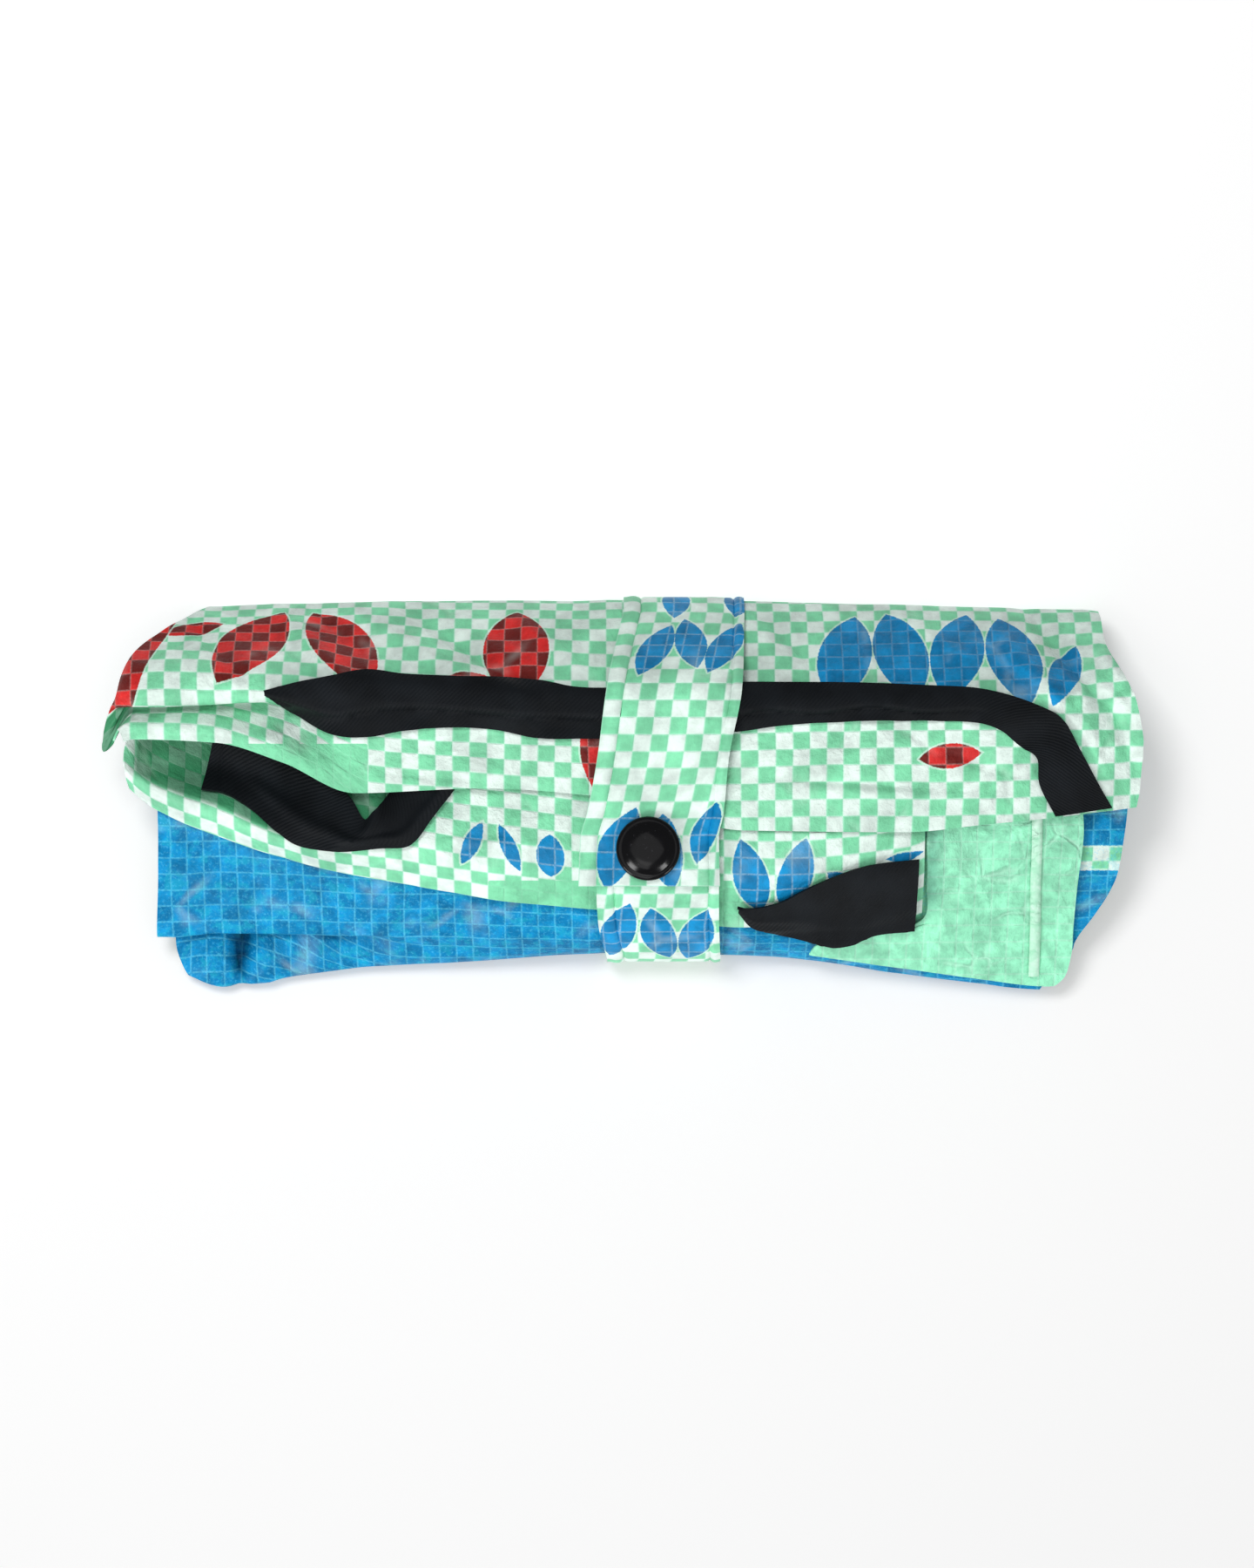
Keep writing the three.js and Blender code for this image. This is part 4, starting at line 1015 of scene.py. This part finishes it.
# Painted shade: the deep pinch crease is darkened in the colour, the deeper the darker.
base_painted_shade = np.clip(-(pinched(base_grid, base_marks) + 1.0) / 3.0, 0, 1)
base_grid = wrinkled(base_grid, base_marks, base_relief)
CHECK_BAND = table("""
     u     v  turn length width
   150 -22.0     0     60     8
    97   -28    90     44     7
""")
PLAIN_AT_SIDE = {name: values[1:] for name, values in CHECK_BAND.items()}
base_cloth = cloth_material("blue printed cloth", all_blue=True, plain=PLAIN_AT_SIDE,
                            unprinted=CHECK_BAND, relief=1.6, mottle=0.2, deep=True)
sheet_solid("base_panel", base_grid, base_uv, CLOTH, [base_cloth, bare_side_and_shade], deep=base_painted_shade)

# %% [markdown]
# ## The side panel and its seam
#
# The plain green side piece lies over the base at the right, and a bound seam stands up on it. Both are
# laid on the finished base by looking straight down for the highest cloth below each point.

# %% Smooth edge lines, and laying one sheet on others
def edge_curve(rows, name_x, name_y, count):
    points = np.stack([rows[name_x], rows[name_y]], -1)
    points = np.concatenate([2 * points[:1] - points[1:2], points, 2 * points[-1:] - points[-2:-1]])
    t = np.linspace(0, len(points) - 3, count)
    k = np.minimum(t.astype(int), len(points) - 4)
    return curve_between(points[k], points[k + 1], points[k + 2], points[k + 3], (t - k)[:, None])


def bridged(height, passes):
    for _ in range(passes):
        around = height[:-2, 1:-1] + height[2:, 1:-1] + height[1:-1, :-2] + height[1:-1, 2:]
        height[1:-1, 1:-1] = np.maximum(height[1:-1, 1:-1], around / 4)
    return height


def softened(height, passes):
    for _ in range(passes):
        padded = np.pad(height, 1, mode="edge")
        height = (padded[:-2, 1:-1] + padded[2:, 1:-1] + padded[1:-1, :-2] + padded[1:-1, 2:]) / 4
    return height


def laid_between(first, second, across, tree, lift, patch):
    t = np.linspace(0, 1, across)[None, :, None]
    plan = first[:, None] * (1 - t) + second[:, None] * t
    height = np.array([[rest_height(tree, x, y, patch) for x, y in row] for row in plan])
    return np.dstack([plan, bridged(height, 6) + lift])


SIDE = table("""
  left leftY right rightY
  97.2  -9.0 147.0   -4.0
  97.2 -16.0 147.6  -14.0
  97.6 -30.0 146.4  -30.0
  97.0 -41.0 145.6  -44.0
  63.0 -49.5 145.4  -53.0
  60.4 -54.2 143.6  -60.4
  62.0 -56.8 139.4  -64.2
""")
base_tree = tree_of(base_grid)
left_edge = edge_curve(SIDE, "left", "leftY", 66)
right_edge = edge_curve(SIDE, "right", "rightY", 66)
t = np.linspace(0, 1, 80)[:, None, None]
side_plan = left_edge[None] * (1 - t) + right_edge[None] * t
fall = np.linspace(1.8, 0, 66)[None, :]
side_plan[..., 1] = np.maximum(side_plan[..., 1], column(BASE, "noseY", side_plan[..., 0]) + fall + 1.6)


def carried_height(x, y, patch=1.0):
    found = rest_height(base_tree, x, y, patch)
    while found == -math.inf:
        x -= 1.0
        found = rest_height(base_tree, x, y, patch)
    return found


side_height = np.array([[carried_height(x, y) for x, y in row] for row in side_plan])
side_height = np.maximum(softened(side_height, 3), side_height - 0.2) + 1.6
x, y = side_plan[..., 0], side_plan[..., 1]
SIDE_CREASES = table("""
    x0     y0     x1     y1   depth width
   100    -18    128    -13    0.5   1.6
   102    -30    118    -44   -0.5   1.8
   110    -48    142    -42    0.5   1.8
   106    -20    112    -34    0.5   1.6
   118    -16    124    -54   -0.3   2.0
   136    -20    144    -50    0.4   1.8
""")
puffed = (0.35 * waves(x, y, 24, 33) + 0.2 * ridges(x, y, 15, 35) + creases(x, y, SIDE_CREASES)
          - 1.2 * bell(x, 97.0, 2.2) * (y > -44))
side_grid = np.dstack([side_plan, side_height + 0.7 + np.maximum(puffed, -1.2)])
side_uv = np.stack([x, y], -1)
green_cloth = cloth_material("plain green cloth", green_weft=True, crumple_size=13.0, relief=1.5,
                             gap_shows=0.42, mottle=0.22, deep=True)
# Painted shade along the side panel's left edge, where it turns down beside the inner panel.
side_painted_shade = 0.5 * bell(x, 99.0, 3.2) * np.clip((y + 42.0) / 8, 0, 1)
sheet_solid("side_panel", side_grid, side_uv, CLOTH, [green_cloth, bare_side_and_shade], printed_up=False,
            deep=side_painted_shade)

# %% The bound seam on the side panel
side_tree = tree_of(side_grid)
seam_path = np.stack([np.linspace(132.6, 133.4, 90), np.linspace(-6.5, -60.2, 90)], -1)
SEAM_PROFILE = ((-1.5, 0.25), (-1.0, 0.85), (-0.3, 1.1), (0.5, 1.05), (1.1, 0.75), (1.5, 0.25))
seam_grid = np.array([
    [(x + dx, y, rest_height(side_tree, x + dx, y, 0.6) + 0.35 + rise) for dx, rise in SEAM_PROFILE]
    for x, y in seam_path])
seam_grid[..., 0] += 0.25 * waves(seam_grid[..., 1], 0 * seam_grid[..., 1], 9, 41)


def seam_material():
    material, tree, shader = new_material("bound seam")
    flat = cloth_place(tree)
    worn = use(tree, crumple, {"Place": flat, "Size": 5.0})
    parts = put(tree, "ShaderNodeSeparateXYZ", {0: flat})
    colour = blend_colour(tree, worn["Tone"], linear("#97D9B5"), linear("#D0F0DF"))
    tree.links.new(colour, shader.inputs["Base Color"])
    shader.inputs["Roughness"].default_value = 0.5
    stitch = sum_up(tree, "SINE", sum_up(tree, "MULTIPLY", parts.outputs[1], 2.0))
    bump_up(tree, shader, sum_up(tree, "MULTIPLY_ADD", stitch, 0.12, worn["Height"]), 0.8)
    return material


SEAM = 0.6
side_seam = sheet_solid("side_seam", seam_grid, seam_grid[..., :2], SEAM, [seam_material()] * 2)

# %% [markdown]
# ## The closing strap
#
# The strap is two plies sewn flat. It runs from its outer end under the stud over the roll, round the
# back, under it and up the front, where its inner end lies beneath the outer one. It is given as one line
# in a side view, with its two edges in tables, because it leans as it crosses the back.

# %% The strap
STRAP = 1.0
STRAP_LINE = table("""
     y     z
 -30.2  40.3
 -24.0  40.5
 -14.0  40.6
  -8.5  40.7
  -1.0  41.7
   8.0  42.9
  15.0  44.4
  24.0  45.1
  33.0  44.4
  40.0  39.6
  49.0  30.2
  57.2  21.4
  61.8  14.0
  62.3   8.0
  58.6   2.2
  52.0   0.6
  30.0   0.6
   0.0   0.6
 -30.0   0.6
 -46.0   0.6
 -53.2   1.7
 -54.9   5.8
 -54.5  11.0
 -52.0  17.0
 -47.4  23.4
 -41.0  29.6
 -34.0  35.6
 -27.0  38.4
 -15.0  38.9
""")
STRAP_TOP = table("""
     x   left right
 -30.2  -14.0  30.8
 -15.0  -13.4  30.5
  -6.7  -11.2  32.0
  10.6   -8.0  33.6
  33.0   -5.0  37.8
  58.0    0.3  39.2
""")
STRAP_LOWER = table("""
     x   left right
 -54.0   -5.0  31.6
 -42.0   -7.8  30.8
 -32.0   -8.3  30.6
 -15.0   -8.3  30.4
""")
STRAP_UNDER = {"left": -4.0, "right": 36.0}
BACK_KEY, FRONT_KEY = 15, 19
strap_steps = 10 * (len(STRAP_LINE["y"]) - 1) + 1
strap_path = edge_curve(STRAP_LINE, "y", "z", strap_steps)
strap_path[:, 1] = np.maximum(strap_path[:, 1], STRAP / 2)
keys = np.linspace(0, len(STRAP_LINE["y"]) - 1, strap_steps)
share = np.clip((keys - BACK_KEY) / (FRONT_KEY - BACK_KEY), 0, 1)


def strap_edge(side):
    top = column(STRAP_TOP, side, strap_path[:, 0])
    lower = column(STRAP_LOWER, side, strap_path[:, 0])
    under = mix(column(STRAP_TOP, side, 58.0), STRAP_UNDER[side], share)
    return np.where(keys < BACK_KEY, top, np.where(keys > FRONT_KEY, lower, under))


STRAP_ACROSS = 85
across = np.linspace(0, 1, STRAP_ACROSS)
strap_x = mix(strap_edge("left")[:, None], strap_edge("right")[:, None], across[None])
strap_grid = np.dstack([strap_x, np.repeat(strap_path[:, :1], STRAP_ACROSS, 1),
                        np.repeat(strap_path[:, 1:], STRAP_ACROSS, 1)])
gone = np.concatenate([[0], np.cumsum(np.linalg.norm(np.diff(strap_path, axis=0), axis=1))])
strap_width = strap_x[:, -1:] - strap_x[:, :1]
lean = np.where(keys > FRONT_KEY, -0.12 * (gone - gone[-1]), 0.0)[:, None]
strap_uv = np.dstack([across[None] * strap_width + lean, np.repeat(gone[:, None], STRAP_ACROSS, 1)])


def strap_relief():
    u = across[None] * strap_width
    v = np.repeat(gone[:, None], STRAP_ACROSS, 1)
    w = strap_width - u
    hem_groove = -0.7 * bell(u, 5.6, 0.6) - 0.6 * bell(w, 3.2, 0.6)
    edges = 0.4 * (bell(u, 3.0, 1.6) + bell(w, 1.5, 1.0))
    seen = np.where(keys < BACK_KEY - 1, 1.0, 0.4)[:, None]
    return hem_groove + edges + seen * (0.28 * waves(u, v, 17, 53) + 0.12 * ridges(u, v, 12, 54))


strap_grid = strap_grid - normals_of(strap_grid) * strap_relief()[..., None]
strap_grid[..., 2] = np.maximum(strap_grid[..., 2], STRAP / 2)
STRAP_GRAINS = table("""
     u     v  turn length width
    13    79    72     24    10
    24    82   108     24    10
    35    80    72     24    10
    12    12    76     27    12
    27    11   104     25    11
    39    17    80     20     8
    37   105    90     20     9
    17   104    90     20     9
""")
strap_total = float(gone[-1])
LOWER_GRAINS = table(f"""
     u     v  turn length width
    10  {strap_total - 34:.1f}  76  26  11
    23  {strap_total - 36:.1f}  104  26  11
    35  {strap_total - 37:.1f}  76  26  11
""")
strap_cloth = cloth_material("checked cloth of the strap", [
    (grain, STRAP_GRAINS, BLUE_INK, 0.5), (grain, LOWER_GRAINS, BLUE_INK, 0.5)], wander=0.8, relief=0.6)
sheet_solid("closing_strap", strap_grid, strap_uv, STRAP, [strap_cloth] * 2)

# %% [markdown]
# ## The handles
#
# The handles are black cotton tape, folded lengthwise. Each lies on what is below it and bridges short
# dips. A step along the tape shows where its upper ply ends, and stitch rows show at the sewn ends.

# %% Black cotton tape
def tape_material():
    material, tree, shader = new_material("black cotton tape")
    flat = cloth_place(tree)
    thread = noise(tree, flat, 2.6, 3.0)["Fac"]
    twill = put(tree, "ShaderNodeTexWave", {"Vector": flat, "Scale": 0.42, "Distortion": 1.2,
                                            "Detail": 1.0}, bands_direction="DIAGONAL")
    tone = smooth_step(tree, noise(tree, flat, 0.07, 4.0)["Fac"], 0.3, 0.75)
    colour = blend_colour(tree, tone, TAPE_BLACK, TAPE_FADED)
    lint = sum_up(tree, "MULTIPLY", smooth_step(tree, thread, 0.62, 0.8), 0.08)
    tree.links.new(blend_colour(tree, lint, colour, LINT_GREY), shader.inputs["Base Color"])
    shader.inputs["Roughness"].default_value = 0.62
    shader.inputs["Specular IOR Level"].default_value = 0.14
    height = sum_up(tree, "MULTIPLY_ADD", twill.outputs["Fac"], 0.12, sum_up(tree, "MULTIPLY", thread, 0.16))
    bump_up(tree, shader, height, 0.8)
    return material


cotton_tape = tape_material()
TAPE = 1.0


def lay_tape(name, rows, trees, lift, bulge, count, wide, relief):
    far = edge_curve(rows, "farX", "farY", count)
    near = edge_curve(rows, "nearX", "nearY", count)
    grid = laid_between(far, near, wide, trees, lift, 1.6)
    t = np.linspace(0, 1, wide)[None]
    middle = (far + near) / 2
    gone = np.concatenate([[0], np.cumsum(np.linalg.norm(np.diff(middle, axis=0), axis=1))])[:, None]
    width = np.linalg.norm(near - far, axis=1)[:, None]
    uv = np.dstack([np.repeat(gone, wide, 1), (t - 0.5) * width])
    grid[..., 2] += bulge * np.sin(np.pi * t) + relief(gone, t, width)
    sheet_solid(name, grid, uv, TAPE, [cotton_tape] * 2)


FRONT = table("""
   farX  farY  nearX nearY
 -113.6  31.6 -113.0  30.0
 -104.4  34.2 -103.6  24.2
  -93.2  36.4  -91.6  17.8
  -81.2  38.4  -81.2  17.2
  -69.2  37.0  -70.0  19.0
  -54.6  36.4  -56.0  20.2
  -40.6  36.0  -40.6  19.6
  -26.6  35.0  -26.6  16.8
  -13.7  32.8  -13.7  16.6
   11.2  33.2   11.2  17.4
   37.2  34.4   36.4  19.0
   51.8  34.4   51.8  21.0
   75.6  34.2   75.6  22.2
   96.6  33.4   95.8  22.4
  114.8  32.2  112.0  21.8
  130.4  27.8  120.6  19.0
  139.4  23.0  126.6  14.0
  145.4  12.9  131.4  10.6
  151.4   2.2  132.4   2.2
  156.0  -5.3  137.8  -8.1
""")
BACK_LEFT = table("""
   farX  farY  nearX nearY
 -131.6  15.4 -134.7   0.6
 -126.6  15.2 -127.1  -0.8
 -116.2  12.0 -119.0  -5.6
 -106.4   8.4 -111.2 -12.3
  -93.6   2.2 -104.0 -17.1
  -87.0  -1.9  -95.2 -19.0
  -81.8  -9.2  -86.8 -19.0
  -79.2  -6.8  -77.0 -18.2
  -76.7  -3.6  -67.6 -17.2
  -73.6   0.0  -60.2  -8.2
  -69.0   4.5  -53.0   1.4
""")
BACK_RIGHT = table("""
  farX  farY  nearX nearY
  36.7 -37.2   37.4 -38.8
  42.3 -37.5   41.7 -43.7
  50.4 -35.6   49.8 -45.9
  59.1 -31.1   58.8 -48.2
  68.6 -26.9   67.2 -50.4
  75.6 -24.4   74.8 -49.3
  82.6 -23.0   81.2 -46.5
  94.6 -21.8   94.1 -45.1
""")


def step_down(value, place, width):
    return np.clip((place - value) / width, 0, 1)


def front_relief(gone, t, width):
    left_fold = 0.66 + 0.05 * np.sin(gone / 9)
    right_fold = 0.70 + 0.07 * np.sin(gone / 5.5 + 1)
    fold = np.where(gone < 130, left_fold, right_fold)
    ply = np.where(gone < 210, 1.0, np.clip((232 - gone) / 22, 0, 1))
    lower_edge = 0.9 * np.clip((t - 0.8) / 0.2, 0, 1) * waves(gone, 0 * t, 7, 66)
    return 1.8 * ply * step_down(t, fold, 0.06) + lower_edge + 0.6 * waves(gone, t * width, 13, 61)


def left_relief(gone, t, width):
    turned = bell(gone, 56 - 14 * (t - 0.5), 5)
    stitched = -0.5 * bell(gone, 4.5, 0.6)
    edge = 1.2 * bell(t, 0.62 + 0.004 * (gone - 30), 0.1) * np.clip((gone - 12) / 14, 0, 1)
    return 1.8 * turned + stitched + edge + 0.6 * waves(gone, t * width, 11, 63)


def right_relief(gone, t, width):
    stitched = -0.5 * bell(gone, 57, 0.6)
    fold = 0.8 * bell(t, 0.68 - 0.1 * np.sin(gone / 9), 0.1) * np.clip(gone / 20, 0, 1)
    return stitched + 1.4 * fold + 0.6 * waves(gone, t * width, 11, 65)


lay_tape("handle_front", FRONT, tree_of(outer_grid), 1.6, 0.4, 250, 22, front_relief)
lay_tape("handle_back_left", BACK_LEFT, tree_of(inner_grid), 1.5, 0.3, 90, 22, left_relief)
lay_tape("handle_back_right", BACK_RIGHT, tree_of(inner_grid, base_grid, side_grid), 1.9, 1.0, 70, 26,
         right_relief)

# %% [markdown]
# ## The press stud
#
# A domed cap of black lacquered metal, turned as one profile. A flat rim, a shallow groove and a dome give
# the ring of light that such caps show under a soft lamp.

# %% The stud's cap
STUD_CENTRE = np.array([8.1, -18.2, 41.6])
STUD_PROFILE = ((0.0, 0.0), (8.6, 0.0), (9.9, 0.25), (10.2, 0.8), (10.15, 1.35), (9.9, 1.8), (9.5, 2.05),
                (8.9, 2.15), (8.4, 2.2), (8.0, 2.42), (7.4, 2.85), (6.4, 3.35), (5.0, 3.8), (3.4, 4.05),
                (1.7, 4.17), (0.0, 4.2))
STUD_SIDES = 128
profile = np.array(STUD_PROFILE)
angle = np.linspace(0, 2 * math.pi, STUD_SIDES, endpoint=False)
ring = profile[1:-1]
stud_points = [STUD_CENTRE.tolist()]
for r, z in ring:
    stud_points += np.stack([STUD_CENTRE[0] + r * np.cos(angle), STUD_CENTRE[1] + r * np.sin(angle),
                             np.full(STUD_SIDES, STUD_CENTRE[2] + z)], -1).tolist()
stud_points.append((STUD_CENTRE + [0, 0, profile[-1, 1]]).tolist())
index = 1 + np.arange(len(ring) * STUD_SIDES).reshape(len(ring), STUD_SIDES)
turned = np.roll(index, -1, axis=1)
stud_faces = np.stack([index[:-1], turned[:-1], turned[1:], index[1:]], -1).reshape(-1, 4).tolist()
stud_faces += [[0, b, a] for a, b in zip(index[0], turned[0])]
stud_faces += [[len(stud_points) - 1, a, b] for a, b in zip(index[-1], turned[-1])]


def stud_material():
    material, tree, shader = new_material("black lacquered metal")
    space = put(tree, "ShaderNodeTexCoord").outputs["Object"]
    worn = smooth_step(tree, noise(tree, space, 900.0, 4.0)["Fac"], 0.64, 0.72)
    colour = blend_colour(tree, sum_up(tree, "MULTIPLY", worn, 0.3), STUD_BLACK, linear("#3A3A3E"))
    tree.links.new(colour, shader.inputs["Base Color"])
    smudge = noise(tree, space, 160.0, 3.0)["Fac"]
    tree.links.new(smooth_step(tree, smudge, 0.3, 0.7, 0.1, 0.24), shader.inputs["Roughness"])
    shader.inputs["Specular IOR Level"].default_value = 0.2
    return material


mesh = bpy.data.meshes.new("press_stud-look")
stud_places = (np.array(stud_points) - BOX_CENTRE) * MM
mesh.from_pydata(stud_places.tolist(), [], [[int(k) for k in face] for face in stud_faces])
mesh.materials.append(stud_material())
smooth_but(mesh, 40)
PIECES["press_stud"] = add_object("press_stud-look", mesh)
print("press_stud", len(mesh.polygons), "faces")

# %% [markdown]
# ## Tell the frame what each piece is
#
# Each piece rides on the one body and stands for its own solid, which is hidden in its place.

for name, piece in PIECES.items():
    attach(piece, "root")
    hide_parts(name)

# %% [markdown]
# ## Floor and light
#
# The key lamp stands behind on the left and lights only the floor, so that it sets the soft shadow in front
# and at the right. Lamps from the front, the back and above light the bag, which keeps its near side as
# bright as in the picture. An even surround fills what is left, as a light tent would.

# %% Floor, lamps and surround
floor_mesh = bpy.data.meshes.new("floor")
FLOOR = 4.0
floor_mesh.from_pydata([(-FLOOR, -FLOOR, 0), (FLOOR, -FLOOR, 0), (FLOOR, FLOOR, 0), (-FLOOR, FLOOR, 0)], [],
                       [(0, 1, 2, 3)])
floor = add_object("floor", floor_mesh)
floor_look, _, floor_shader = new_material("pale floor")
floor_shader.inputs["Base Color"].default_value = (0.93, 0.93, 0.93, 1.0)
floor_shader.inputs["Roughness"].default_value = 0.9
floor_shader.inputs["Specular IOR Level"].default_value = 0.1
floor_shader.inputs["Emission Color"].default_value = (1.0, 1.0, 1.0, 1.0)
floor_shader.inputs["Emission Strength"].default_value = 0.34
floor_mesh.materials.append(floor_look)
floor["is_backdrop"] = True


def lamp(name, place, size, power):
    data = bpy.data.lights.new(name, "AREA")
    data.shape = "RECTANGLE"
    data.size, data.size_y = size
    data.energy = power
    light = add_object(name, data)
    light.location = place
    light.rotation_mode = "QUATERNION"
    light.rotation_quaternion = (Vector((0, 0, 0.02)) - Vector(place)).to_track_quat("-Z", "Y")
    return light


key = lamp("key", (-0.36, 0.52, 1.2), (0.45, 0.45), 7.5)
lamp("overhead", (-0.1, -0.1, 1.6), (1.4, 1.4), 5.0)
front_left = lamp("front left", (-0.55, -0.65, 0.5), (0.3, 0.3), 4.6)
front_right = lamp("front right", (0.55, -0.65, 0.5), (0.25, 0.25), 2.6)
front_high = lamp("front high", (-0.2, -0.7, 1.1), (0.6, 0.6), 1.8)
back_soft = lamp("back soft", (-0.36, 0.52, 1.2), (0.45, 0.45), 7.6)
back_soft.visible_glossy = False


def lights_only(lamps, pieces):
    receivers = bpy.data.collections.new(lamps[0].name + " receivers")
    for piece in pieces:
        receivers.objects.link(piece)
    for light in lamps:
        light.light_linking.receiver_collection = receivers


lights_only([key], [floor])
lights_only([front_left, front_right, front_high, back_soft], PIECES.values())
world = bpy.data.worlds.new("surround")
world.use_nodes = True
world.node_tree.nodes["Background"].inputs["Color"].default_value = (1.0, 1.0, 1.0, 1.0)
world.node_tree.nodes["Background"].inputs["Strength"].default_value = 0.22
bpy.context.scene.world = world
bpy.context.scene.view_settings.view_transform = "Standard"

# %% Print the sizes and finish
visual_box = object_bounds()
({"cad": [list(corner) for corner in cad_box],
           "visual": [list(corner) for corner in visual_box]})
print("cad", [tuple(round(v, 4) for v in corner) for corner in cad_box])
print("visual", [tuple(round(v, 4) for v in corner) for corner in visual_box])
